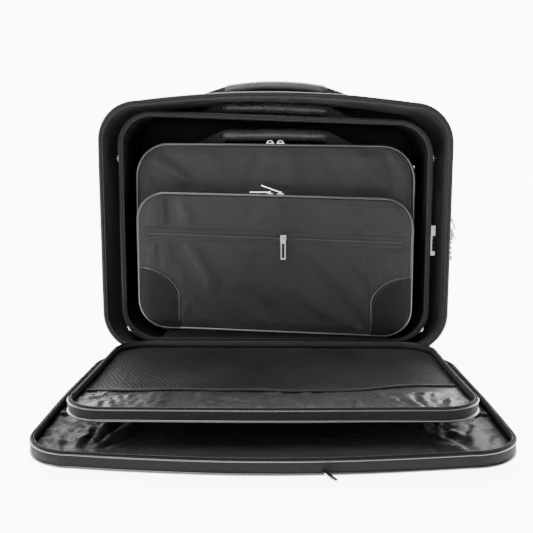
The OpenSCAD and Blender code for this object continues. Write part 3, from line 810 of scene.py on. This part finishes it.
def stitches(name, pts, pitch, mat, body, r=0.32, lift=(0, -0.25, 0)):
    """A row of short thread stitches along a path (mm)."""
    p = np.asarray(pts, float)
    s = np.concatenate([[0], np.cumsum(np.linalg.norm(np.diff(p, axis=0), axis=1))])
    count = int(s[-1] / pitch)
    co, faces, uv = [], [], []
    for k in range(count):
        a = [np.interp(k * pitch + pitch * f, s, p[:, i]) + lift[i] for f in (0.1,) for i in range(3)]
        b = [np.interp(k * pitch + pitch * f, s, p[:, i]) + lift[i] for f in (0.78,) for i in range(3)]
        a, b = np.array(a), np.array(b)
        d = b - a
        d /= max(np.linalg.norm(d), 1e-6)
        q = np.cross(d, [0.05, 1, 0.02])
        q /= np.linalg.norm(q)
        w = np.cross(d, q)
        base = len(co)
        for e, rr in ((a, 0.35), (a + (b - a) * 0.2, 1), (a + (b - a) * 0.8, 1), (b, 0.35)):
            for ang in (0.0, 1.571, 3.142, 4.712):
                co.append(e + (q * cos(ang) + w * sin(ang)) * r * rr)
        for i in range(3):
            for j in range(4):
                j2 = (j + 1) % 4
                faces.append((base + i * 4 + j, base + i * 4 + j2, base + i * 4 + 4 + j2, base + i * 4 + 4 + j))
                uv += [(0, 0), (0.001, 0), (0.001, 0.001), (0, 0.001)]
        faces.append((base + 3, base + 2, base + 1, base))
        faces.append((base + 12, base + 13, base + 14, base + 15))
        uv += [(0, 0), (0.001, 0), (0.001, 0.001), (0, 0.001)] * 2
    return add_mesh(name, co, faces, uv, mat=mat, body=body)


# --- lids

def lid_set(size, ol_args, y_rim, tray, panel, mesh_top, mesh_y, seed, hem_wave):
    """A soft tray with welts, a zip, a wrinkled lining and a net with a stitched hem."""
    body = size + "_lid"
    ol = Outline(*ol_args)
    y_face = y_rim - tray
    # the tray uses the darker lid copy of the case cloth, which is painted shade
    case_shell(size + "_lid_soft_tray", ol, y_rim, y_face, panel, M["cloth_lid_shaded"], body,
               [size + "_lid_tray"], 0.6, seed, 5, back_bulge=0.0)
    piping(size + "_lid_face_welt", ol, y_face + 1.3, 1.5, body, [size + "_lid_piping"], out=-0.4,
           seed=seed + 1)
    piping(size + "_lid_edge_welt", ol, y_rim - 2.4, 0.9, body, out=-0.1, seed=seed + 2)
    w, z0, z1, r = ol_args[:4]
    crown = ol_args[4] if len(ol_args) > 4 else 0
    k = panel + 0.2
    zip_ring(size + "_lid_zip", (w - 2 * k, z0 + k, z1 - k, r - k, crown), y_rim - 1.6, -6.0, body, thick=0.7, coil_r=0.9)
    # wrinkled satin lining
    g = panel_grid(ol, panel + 1.2, 150, 110, y_face + panel + 1.2)
    sim = simulate_sheet(g, 0.05, 26, seed)
    ends = smooth(110, 170, np.abs(g[..., 0])) if size == "large" else 1.0
    d = np.abs(sim[..., 1] - g[..., 1]) * (0.35 + 0.65 * ends)
    d = d + (0.3 + 1.9 * ends) * creases(g * np.array([1, 1, 0.8]), 24, seed + 2) ** 1.5
    room = 1.0 + 4.2 * smooth(mesh_top - 2, mesh_top + 14, g[..., 2])
    sim[..., 1] = g[..., 1] + np.minimum(d, room)
    lining = sheet_mesh(size + "_lid_satin", sim, 0.5, M["satin_large" if size == "large" else "satin"], body,
                        replaces=[size + "_lid_lining"], side=1)
    # net pocket
    base = panel_grid(ol, panel + 3.2, 120, 90, mesh_y)
    zlo, zhi = base[0, 0, 2], mesh_top
    net = base.copy()
    net[..., 2] = np.linspace(zlo, zhi, base.shape[0])[:, None]
    half = half_widths(ol.ring(-(panel + 3.2), mesh_y), net[:, 0, 2])
    net[..., 0] = np.linspace(-half, half, net.shape[1], axis=1)
    f = (net[..., 2] - zlo) / (zhi - zlo)
    x = net[..., 0]
    net[..., 2] += hem_wave(x) * f ** 2
    sag = fbm(net * np.array([1, 1, 0.7]), 70, 3, seed + 9)
    edge = np.minimum(1, (w / 2 - np.abs(x)) / 40)
    net[..., 1] = mesh_y + np.clip(edge, 0, 1) * (0.3 + 0.5 * sag) * np.sin(np.clip(f, 0, 1) * pi * 0.5)
    pocket = sheet_mesh(size + "_lid_net", net, 0.35, M["mesh"], body, replaces=[size + "_lid_mesh_pocket"], side=1)
    hem_rows = []
    top = net[-1]
    for (dz, dy) in ((-5.5, 0.2), (-5.5, 1.0), (0.6, 1.3), (1.4, 0.7), (0.8, -0.5), (-5.5, -0.45)):
        r = top.copy()
        r[:, 2] += dz
        r[:, 1] += dy
        hem_rows.append(r)
    wrap(size + "_lid_hem", np.array(hem_rows)[::-1], mat=M["binding"], body=body)
    st = top.copy()
    st[:, 2] -= 3.4
    st[:, 1] += 1.25
    stitches(size + "_lid_hem_stitch", st, 3.2, M["thread"], body, r=0.3, lift=(0, 0, 0))


lid_set("large", LARGE, -0.4, 16.0, 3.0, 240, -9.2, 11,
        lambda x: 2.0 * np.sin(x / 41.0) + 1.5 * np.sin(x / 17.0))
lid_set("medium", MEDIUM, 13.6, 14.0, 2.6, 258, 5.2, 23,
        lambda x: 2.4 * np.sin(x / 33.0 + 0.6) + 1.3 * np.sin(x / 13.0) - 22.0 * smooth(60, 190, x))

# outer pocket on the large lid: a stuffed slab
O_OUTER = Outline(420, 54, 344, 36, 11)
# the pocket uses the darker lid copy of the case cloth, which is painted shade
case_shell("large_lid_padded_pocket", O_OUTER, -16.6, -25.2, 2.0, M["cloth_lid_shaded"], "large_lid", ["large_lid_pocket"],
           0.5, 31, 5, back_bulge=0.3)
piping("large_lid_pocket_welt", O_OUTER, -23.6, 1.3, "large_lid", out=-0.6)

# cloth fold that hinges the large lid
strip = []
for t in np.linspace(0, 1, 13):
    if t < 0.5:
        y, z = 26 - 25.6 * (t / 0.5), 33.2
    else:
        y, z = -0.35 - 0.25 * (t - 0.5) / 0.5, 33.0 - 14.0 * (t - 0.5) / 0.5
    strip.append([(x, y, z) for x in np.linspace(-178, 178, 60)])
strip = np.array(strip)
back = strip.copy()
back[:7, :, 2] += 0.6
back[7:, :, 1] -= 0.45
hinge = wrap("large_hinge_fold", np.vstack([strip, back[::-1]]), mat=M["cloth"],
             replaces=["large_hinge_strip"])
to_frame((0, 1.5, 33.2))
to_frame((0, -0.5, 31.0))
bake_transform(hinge)


# --- medium case

case_shell("medium_padded_shell", O_MEDIUM, 14.0, 166.0, 4.5, M["cloth"], "medium_case", ["medium_shell"], 1.0, 41, 14)


def stud(name, x, y):
    """A domed plastic foot under the medium case."""
    rows = []
    for rad, z in ((1.5, 39.6), (5.0, 39.7), (7.8, 40.2), (8.9, 41.2), (9.2, 42.6), (9.8, 43.7), (6.0, 44.2)):
        a = turn(40)
        rows.append(np.stack([x + rad * np.cos(a), y + rad * np.sin(a), np.full(40, z)], 1))
    loft(name, rows, ends=(1, 1), mat=M["plastic"], body="medium_case", replaces=["medium_shell"])


for side, x in (("left", -130), ("right", 130)):
    for end, y in (("front", 36), ("back", 144)):
        stud(f"medium_stud_{side}_{end}", x, y)

# quilted pad on the floor of the medium case
pad_rows = []
px, py, pr = 155.0, 72.2, 9.0
corner = np.concatenate([np.stack([cx + pr * np.cos(a), cy + pr * np.sin(a)], 1) for cx, cy, a in (
    (px - pr, py - pr, np.linspace(0, pi / 2, 10)), (pr - px, py - pr, np.linspace(pi / 2, pi, 10)),
    (pr - px, pr - py, np.linspace(pi, 1.5 * pi, 10)), (px - pr, pr - py, np.linspace(1.5 * pi, 2 * pi, 10)))])
arc = np.concatenate([[0], np.cumsum(np.linalg.norm(np.diff(np.vstack([corner, corner[:1]]), axis=0), axis=1))])
along = np.linspace(0, arc[-1], 200, endpoint=False)
edge = np.stack([np.interp(along, arc, np.append(corner[:, i], corner[0, i])) for i in (0, 1)], 1)
for inset, z in ((60, 48.05), (1.0, 48.05), (0.2, 48.4), (0.2, 48.9), (1.0, 49.4)):
    k = 1 - inset / py
    pad_rows.append(np.stack([edge[:, 0] * (1 - inset / px), edge[:, 1] * k + 88.25, np.full(200, z)], 1))
for f in np.linspace(0.97, 0.02, 26):
    q = np.stack([edge[:, 0] * f, edge[:, 1] * f + 88.25, np.full(200, 49.6)], 1)
    q[:, 2] -= 0.5 * np.exp(-(((q[:, 0] + 15.5) % 31 - 15.5) / 1.6) ** 2) + 0.12 * (1 + fbm(q, 30, 2, 44))
    pad_rows.append(q)
pad = loft("medium_floor_quilt", pad_rows, ends=(1, 1), mat=M["satin_dark"], body="medium_case",
           replaces=["medium_floor_pad"])

# cloth fold that hinges the medium lid
fold = []
path = np.array([(44, 43.1), (30, 42.9), (17, 42.8), (12.2, 43.0), (8, 43.6), (3.5, 44.8), (0.2, 46.0), (-1.5, 45.2),
                 (-2.35, 42.6), (-2.4, 38.0)])
for k, (y, z) in enumerate(path):
    sag = 0.5 * sin(pi * np.clip((k - 2) / 5, 0, 1))
    xs = np.linspace(-156, 156, 70)
    wave = value_noise(np.stack([xs, xs * 0, xs * 0 + k], 1), 40, 46)
    fold.append(np.stack([xs, np.full(70, y), z - sag * (0.6 + 0.4 * wave)], 1))
fold = np.array(fold)
under = fold.copy()
under[..., 2] -= 0.7
under[7:, :, 1] -= 0.5
under[7:, :, 2] += 0.7
fold_ob = wrap("medium_hinge_fold", np.vstack([fold, under[::-1]]), mat=M["cloth"])
to_frame((0, 10.0, 43.4))
to_frame((0, -1.0, 45.6))
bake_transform(fold_ob)

piping("medium_rim_welt", O_MEDIUM, 17.0, 1.5, "medium_case", ["medium_rim_piping"], out=-0.4, seed=42)
piping("medium_back_welt", O_MEDIUM, 162.8, 1.8, "medium_case", out=-0.9, seed=43)
zip_ring("medium_rim_zip", (404.8, 48.1, 342.4, 40.4), 14.4, 9.0, "medium_case", thick=0.8)

# --- small case

case_shell("small_soft_shell", O_SMALL, 52.0, 142.0, 3.0, M["cloth"], "small_case", ["small_shell"], 0.9, 51, 10)
zip_ring("small_main_zip", SMALL, 55.6, 6.4, "small_case", off=0.25, flat=True)

case_shell("small_lid_soft_tray", O_SMALL_LID, 51.6, 38.0, 3.0, M["cloth_front"], "small_lid", ["small_lid_tray"],
                    0.5, 53, 5, back_bulge=0.4)
piping("small_main_welt", O_SMALL_LID, 39.4, 2.2, "small_lid", ["small_piping"], out=-0.4, seed=54)
piping("small_edge_welt", O_SMALL_LID, 49.6, 1.0, "small_lid", out=0.0, seed=55)


def soft_folds(g, folds):
    """Long soft ridges (plus) and valleys (minus) between two points: x0, z0, x1, z1, width, height."""
    out = np.zeros(g.shape[:-1])
    x, z = g[..., 0], g[..., 2]
    for x0, z0, x1, z1, w, h in folds:
        dx, dz = x1 - x0, z1 - z0
        t = ((x - x0) * dx + (z - z0) * dz) / (dx * dx + dz * dz)
        c = np.clip(t, 0, 1)
        wob = 3.0 * value_noise(np.stack([c * 60, c * 0 + x0, c * 0], -1), 18, 5)
        side = ((x - x0) * dz - (z - z0) * dx) / hypot(dx, dz) + wob
        past = np.maximum(np.abs(t - 0.5) - 0.5, 0) * hypot(dx, dz)
        out += h * np.exp(-(side / w) ** 2) * np.exp(-(past / (1.5 * w)) ** 2) * (0.6 + 0.4 * np.sin(c * pi))
    return out


def front_panel(ol, inset, y, nx, nz, seed, stretch, frames, cap, folds, room, held=()):
    """A soft panel sewn in all round; it bulges towards -Y by less than room (mm)."""
    g = panel_grid(ol, inset, nx, nz, y)
    d = np.abs(simulate_sheet(g, stretch, frames, seed)[..., 1] - g[..., 1])
    d = np.minimum(d, cap * 0.7)
    d = d * 0.7 + cap * 0.4 + 2.1 * soft_folds(g, folds) + 0.7 * fbm(g, 60, 3, seed + 3)
    d = -room / 2 * (1 + np.tanh((d - room / 2) / (room / 2)))
    for weight, value in held:
        k = weight(g[..., 0], g[..., 2])
        d = d * (1 - k) + value * k
    edge = np.minimum(np.arange(nz), np.arange(nz)[::-1])[:, None] / 6.0
    edge = np.minimum(edge, np.minimum(np.arange(nx), np.arange(nx)[::-1])[None, :] / 6.0)
    g = g.copy()
    g[..., 1] = y - 0.2 + d * np.clip(edge, 0, 1)
    return g


POCKET_FOLDS = [(-137, 240, -139, 196, 7, -1.9), (-155, 232, -160, 200, 9, 1.6), (-121, 238, -116, 202, 7, 1.3),
                (-133, 178, -101, 117, 7, -2.2), (-101, 114, -55, 66, 8, -1.6), (-112, 172, -86, 128, 8, 1.7),
                (-62, 170, -20, 120, 16, 1.6), (-40, 110, 6, 74, 10, -1.1), (20, 175, 62, 128, 10, -1.5),
                (56, 166, 98, 120, 11, 1.6), (92, 160, 128, 110, 7, -1.7), (30, 118, 96, 74, 9, 1.2),
                (110, 92, 122, 66, 6, -1.1), (-24, 236, -34, 204, 9, -1.2), (44, 238, 66, 202, 10, -1.4),
                (96, 236, 112, 204, 8, 1.5), (132, 234, 128, 198, 7, -1.6), (154, 226, 160, 196, 8, 1.2),
                (150, 166, 120, 126, 7, 1.1), (4, 230, 16, 204, 8, 1.1)]
UPPER_FOLDS = [(-169, 290, -121, 264, 8, 2.3), (-174, 276, -152, 252, 6, -1.8), (-142, 296, -110, 268, 6, -1.9),
               (-96, 300, -60, 258, 16, 1.3), (-20, 300, -34, 252, 8, -1.8), (18, 298, 30, 250, 13, 1.6),
               (70, 300, 92, 252, 8, -1.7), (112, 302, 138, 262, 9, 1.8), (150, 296, 168, 262, 6, -1.7),
               (-60, 262, 10, 250, 8, -0.9)]
POCKET_HELD = [(lambda x, z: smooth(120, 134, np.abs(x)) * (1 - smooth(132, 150, z)), -1.6),
               (lambda x, z: np.exp(-((x - 11) / 12) ** 2 - ((z - 170) / 16) ** 2), -0.8),
               (lambda x, z: 1 - smooth(7.0, 17.0, np.abs(z - 187)), -0.2)]
pocket_g = front_panel(O_POCKET, 1.6, 11.3, 190, 110, 61, 0.012, 20, 3.2, POCKET_FOLDS, 4.3, POCKET_HELD)
upper_g = front_panel(O_SMALL_LID, 2.4, 38.2, 190, 130, 63, 0.014, 20, 4.2, UPPER_FOLDS, 7.5)
up = sheet_mesh("small_lid_padded_front", upper_g, 0.6, M["cloth_front"], "small_lid", side=-1)

# pocket: side gusset, back and a soft front
case_shell("small_pocket_body", O_POCKET, 37.9, 11.2, 2.5, M["cloth_front"], "small_lid", ["small_pocket"], 0.8, 57, 7,
           back_bulge=0.0)
pf = sheet_mesh("small_pocket_padded_front", pocket_g, 0.6, M["cloth_front"], "small_lid", side=-1)
piping("small_pocket_welt", O_POCKET, 12.2, 2.3, "small_lid", out=-0.3, seed=58)
zip_ring("small_pocket_zip", POCKET, 24.0, 6.4, "small_lid", off=0.3, flat=True)


def face_y(x, z):
    i = int(np.clip(np.searchsorted(pocket_g[:, 0, 2], z) - 1, 0, len(pocket_g) - 2))
    low, high = pocket_g[i], pocket_g[i + 1]
    t = np.clip((z - low[0, 2]) / (high[0, 2] - low[0, 2]), 0, 1)
    return np.interp(x, low[:, 0], low[:, 1]) * (1 - t) + np.interp(x, high[:, 0], high[:, 1]) * t


# corner patches of the pocket
def corner_patch(side):
    ring = O_POCKET.ring(-1.9, 11.2)
    left = ring[(ring[:, 0] <= -128) & (ring[:, 2] <= 143)]
    ang = np.argsort(-left[:, 2] + (left[:, 0] + 183) * 1.0)
    left = left[ang]
    inner = [(-181.2, 143.0)]
    for t in np.linspace(0, pi / 2, 18):
        inner.append((-181 + 52 * sin(t) ** 1.0, 106 + 35 * cos(t) ** 1.3 if t < pi / 2 - 1e-6 else 106))
    inner += [(-129, z) for z in np.linspace(100, 61, 10)]
    inner = np.array(inner)
    N = 46

    def even(q):
        s = np.concatenate([[0], np.cumsum(np.linalg.norm(np.diff(q, axis=0), axis=1))])
        u = np.linspace(0, s[-1], N)
        return np.stack([np.interp(u, s, q[:, i]) for i in range(q.shape[1])], 1)

    def lay(q, off):
        """Points (x, z) laid on the cloth of this side, off mm proud of it."""
        x = q[:, 0] * -side
        return np.stack([x, np.array([face_y(*p) for p in zip(x, q[:, 1])]) - off, q[:, 1]], 1)

    a = even(inner)
    b = even(left[:, [0, 2]])
    end = "left" if side < 0 else "right"
    rows = []
    for t in np.linspace(0, 1, 16):
        rows.append(lay(a * (1 - t) + b * t, 0.8 * smooth(0, 0.08, t) + 0.35))
    back = [r + np.array([0, 1.0, 0]) for r in rows]
    g = np.array(rows + back[::-1])
    if side < 0:
        g = g[::-1]
    wrap(f"small_pocket_patch_{end}", g, mat=M["leather"], body="small_lid")
    tube_path(f"small_patch_welt_{end}", lay(a, 0.5), 0.75, M["vinyl"], "small_lid", n=8)
    stitches(f"small_patch_stitch_{end}", lay(a * 0.93 + b * 0.07, 1.25), 3.4, M["thread"], "small_lid", r=0.28)


corner_patch(-1)
corner_patch(1)

# slanting zip across the pocket
xs = np.linspace(-172, 172, 700)
zc = 187 + 0 * xs
yy = np.minimum(np.array([min(face_y(x, 187 + dz) for dz in (-8, -4, 0, 4, 8)) for x in xs]), 11.0) - 0.1
tape_rows = []
for dz, dy in ((-7.5, -0.1), (-7.2, -0.7), (-2.2, -0.9), (-1.8, -0.35),
               (1.8, -0.35), (2.2, -0.9), (7.2, -0.7), (7.5, -0.1)):
    tape_rows.append(np.stack([xs, yy + dy, zc + dz], 1))
for dz in (6, -6):
    tape_rows.append(np.stack([xs, yy + 0.8, zc + dz], 1))
wrap("slash_zip_flaps", np.array(tape_rows), mat=M["binding"], body="small_lid")
xs2 = np.linspace(-170, 170, 1400)
y2 = np.interp(xs2, xs, yy)
mod = 0.78 + 0.22 * np.cos(xs2 / 2.2 * 2 * pi)
tube_path("slash_zip_coil", np.stack([xs2, y2 - 0.35, np.full_like(xs2, 187)], 1), 1.0, M["coil"], "small_lid", n=7,
          modulate=mod)
for dz in (-6.2, 6.2):
    stitches(f"slash_zip_stitch_{'low' if dz < 0 else 'high'}",
             np.stack([xs, yy - 0.75, zc + dz], 1), 3.2, M["thread"], "small_lid", r=0.26)


# puller of the outer pocket's zip, hanging at the near edge of the large lid
def flat_pull(name, path, half, thick, body):
    """A stamped metal tongue along a path (mm)."""
    p = np.asarray(path, float)
    t = np.gradient(p, axis=0)
    t /= np.linalg.norm(t, axis=1, keepdims=True)
    side = np.cross(t, [0, 1.0, 0])
    side /= np.linalg.norm(side, axis=1, keepdims=True)
    up = np.cross(side, t)
    q = turn(16)
    c, d = np.sign(np.cos(q)) * np.abs(np.cos(q)) ** 0.5, np.sign(np.sin(q)) * np.abs(np.sin(q)) ** 0.5
    n = len(p)
    w = half * (0.62 + 0.38 * np.sin(np.linspace(0.25, 1.0, n) * pi * 0.72) ** 2)
    rows = [p[k] + side[k] * (c * w[k])[:, None] + up[k] * (d * thick)[:, None] for k in range(n)]
    return loft(name, rows, ends=(1, 1), mat=M["chrome"], body=body)


flat_pull("large_lid_pocket_puller", [(46, -11.5, 374.6), (49, -13.2, 378.0), (53, -15.2, 381.2), (57.5, -17.0, 384.4)],
          2.6, 0.8, "large_lid")
for k, z in enumerate((243, 253)):
    stitches(f"large_lid_bar_tack_{k}", [(25, -14.4, z), (33, -14.4, z)], 1.9, M["thread"], "large_lid", r=0.6,
             lift=(0, 6.5, 0))

# --- handles

def grip(size, y, zc, a, b, seed, arch, drop):
    """A stuffed leather grip with two slanting seams."""
    body, node = size + "_handle", size + "_handle_grip"
    half, end, n = 75.0, 12.0, 48
    ang = turn(n)
    rows = []
    xs = half * np.sin(np.linspace(-pi / 2, pi / 2, 130))
    for x in xs:
        e = max(0.0, (abs(x) - (half - end)) / end)
        s = 0.36 + 0.64 * sqrt(max(0.0, 1 - e ** 2.4))
        mid = zc + arch - (arch + drop) * (x / half) ** 2
        r = np.stack([np.full(n, x), y + a * s * np.cos(ang), mid + b * s * np.sin(ang)], 1)
        v = (r[:, 2] - mid) / b
        groove = 0
        for c0, sl in ((-38, 8.0), (38, -8.0)):
            d = (np.abs(x - (c0 + sl * v)) / 1.0) ** 2
            groove = groove + np.exp(-d) - 0.35 * np.exp(-(np.abs(x - (c0 + sl * v)) - 2.4) ** 2)
        dent = -0.9 * groove + 0.35 * fbm(r, 24, 2, seed)
        under = np.clip(-np.sin(ang), 0, 1) ** 2 * 1.2
        r[:, 1] += np.cos(ang) * dent
        r[:, 2] += np.sin(ang) * dent + under
        rows.append(r)
    # the medium and small grips use the lighter leather copy, which is painted light in place of the light they lack
    mat = M["top_leather" if size == "large" else "grip_leather"]
    ob = loft(f"{size}_grip_leather", rows, ends=(1, 1), mat=mat, body=body, replaces=[node])


def straps(size, y, pivot, top):
    """Webbing folded into a wedge: deep where it enters the grip, flat where it is sewn down."""
    q = turn(40)
    cy = np.sign(np.cos(q)) * np.abs(np.cos(q)) ** 0.35
    sz = np.sign(np.sin(q)) * np.abs(np.sin(q)) ** 0.45
    for s in (-1, 1):
        rows = []
        for x in np.linspace(70.5, 108.0, 44):
            t = (x - 70.5) / 37.5
            zt = top + (pivot + 1.6 - top) * t ** 1.15
            zb = pivot - 0.3
            cuff = 0.7 * (1 - smooth(80.0, 81.0, x))
            w = (9.0 - 3.0 * t + cuff) * (0.62 + 0.38 * (sz + 1) / 2)
            sew = -0.45 * exp(-((x - 83.5) / 0.7) ** 2)
            z = (zt + zb) / 2 + sz * ((zt - zb) / 2 + sew)
            rows.append(np.stack([np.full(40, s * x), y + cy * (w + sew), z], 1))
        if s < 0:
            rows = rows[::-1]
        side = "left" if s < 0 else "right"
        ob = loft(f"{size}_webbing_{side}", rows, ends=(1, 1), mat=M["webbing"], body=size + "_handle",
                  replaces=[size + "_handle_straps"])


for size, y, zc, depth, height, seed, arch, drop, pivot, top in (
        ("large", 110, 389.5, 13, 9, 71, 2.0, 5.0, 377.5, 392.0),
        ("medium", 90, 359.9, 12, 9.2, 73, 0.3, 1.2, 348.4, 367.5),
        ("small", 92, 323.4, 12, 9.2, 75, 0.3, 1.2, 311.4, 331.0)):
    grip(size, y, zc, depth, height, seed, arch, drop)
    straps(size, y, pivot, top)


# --- stage, light, camera

def plain(name, colour, rough, glow):
    """A pale floor whose glow fades towards the viewer."""
    m = Mat(name)
    m.bsdf.inputs["Base Color"].default_value = (*colour, 1)
    m.bsdf.inputs["Emission Color"].default_value = (1, 1, 1, 1)
    fade = m.add("MapRange")
    fade.interpolation_type = "SMOOTHSTEP"
    for socket, v in (("From Min", -0.62), ("From Max", -0.36), ("To Min", glow[0]), ("To Max", glow[1])):
        fade.inputs[socket].default_value = v
    m.join(m.axes(m.coords("Object"))[1], fade.inputs["Value"])
    m.feed(fade.outputs[0], "Emission Strength")
    m.set(rough=rough, spec=0.1)
    return m.material


floor_me = bpy.data.meshes.new("floor")
floor_me.from_pydata([(-6, -6, 0), (6, -6, 0), (6, 6, 0), (-6, 6, 0)], [], [(0, 1, 2, 3)])
floor_me.materials.append(plain("pale_floor", (0.75, 0.75, 0.75), 0.85, (0.05, 8.5)))
floor = bpy.data.objects.new("floor", floor_me)
bpy.context.scene.collection.objects.link(floor)

world = bpy.data.worlds.new("studio")
bpy.context.scene.world = world
world.use_nodes = True
bg = world.node_tree.nodes.get("Background") or world.node_tree.nodes.new("ShaderNodeBackground")
bg.inputs[0].default_value = (1.0, 1.0, 1.0, 1)
wt = world.node_tree
sky = wt.nodes.new("ShaderNodeTexCoord")
axes = wt.nodes.new("ShaderNodeSeparateXYZ")
wt.links.new(sky.outputs["Generated"], axes.inputs[0])
behind = wt.nodes.new("ShaderNodeMapRange")
behind.interpolation_type = "SMOOTHSTEP"
for sock, v in (("From Min", 0.30), ("From Max", 0.75), ("To Min", 0.22), ("To Max", 11.0)):
    behind.inputs[sock].default_value = v
wt.links.new(axes.outputs[1], behind.inputs["Value"])
wt.links.new(behind.outputs[0], bg.inputs[1])


def area(name, loc, target, size, power):
    d = bpy.data.lights.new(name, "AREA")
    d.shape = "RECTANGLE"
    d.size, d.size_y = size
    d.energy = power
    o = bpy.data.objects.new(name, d)
    o.location = loc
    direction = Vector(target) - Vector(loc)
    o.rotation_euler = direction.to_track_quat("-Z", "Y").to_euler()
    bpy.context.scene.collection.objects.link(o)


area("key_top", (-0.5, -0.9, 1.9), (0, 0.0, 0.15), (1.3, 1.0), 62)
area("fill_left", (-2.0, -1.2, 0.9), (0, 0.05, 0.25), (0.8, 1.4), 50)
area("fill_right", (1.9, -1.6, 1.1), (0, 0, 0.2), (1.0, 1.4), 9)
area("fill_front", (-0.3, -2.3, 0.36), (0, 0.1, 0.3), (1.6, 0.55), 22)

cam_data = bpy.data.cameras.new("camera")
cam_data.lens = 50.9
cam_data.sensor_width = 36
cam = bpy.data.objects.new("camera", cam_data)
cam.location = (0.0097, -0.9302, 0.298)
cam.rotation_euler = (radians(81.5), 0, radians(1.2))
bpy.context.scene.collection.objects.link(cam)
bpy.context.scene.camera = cam
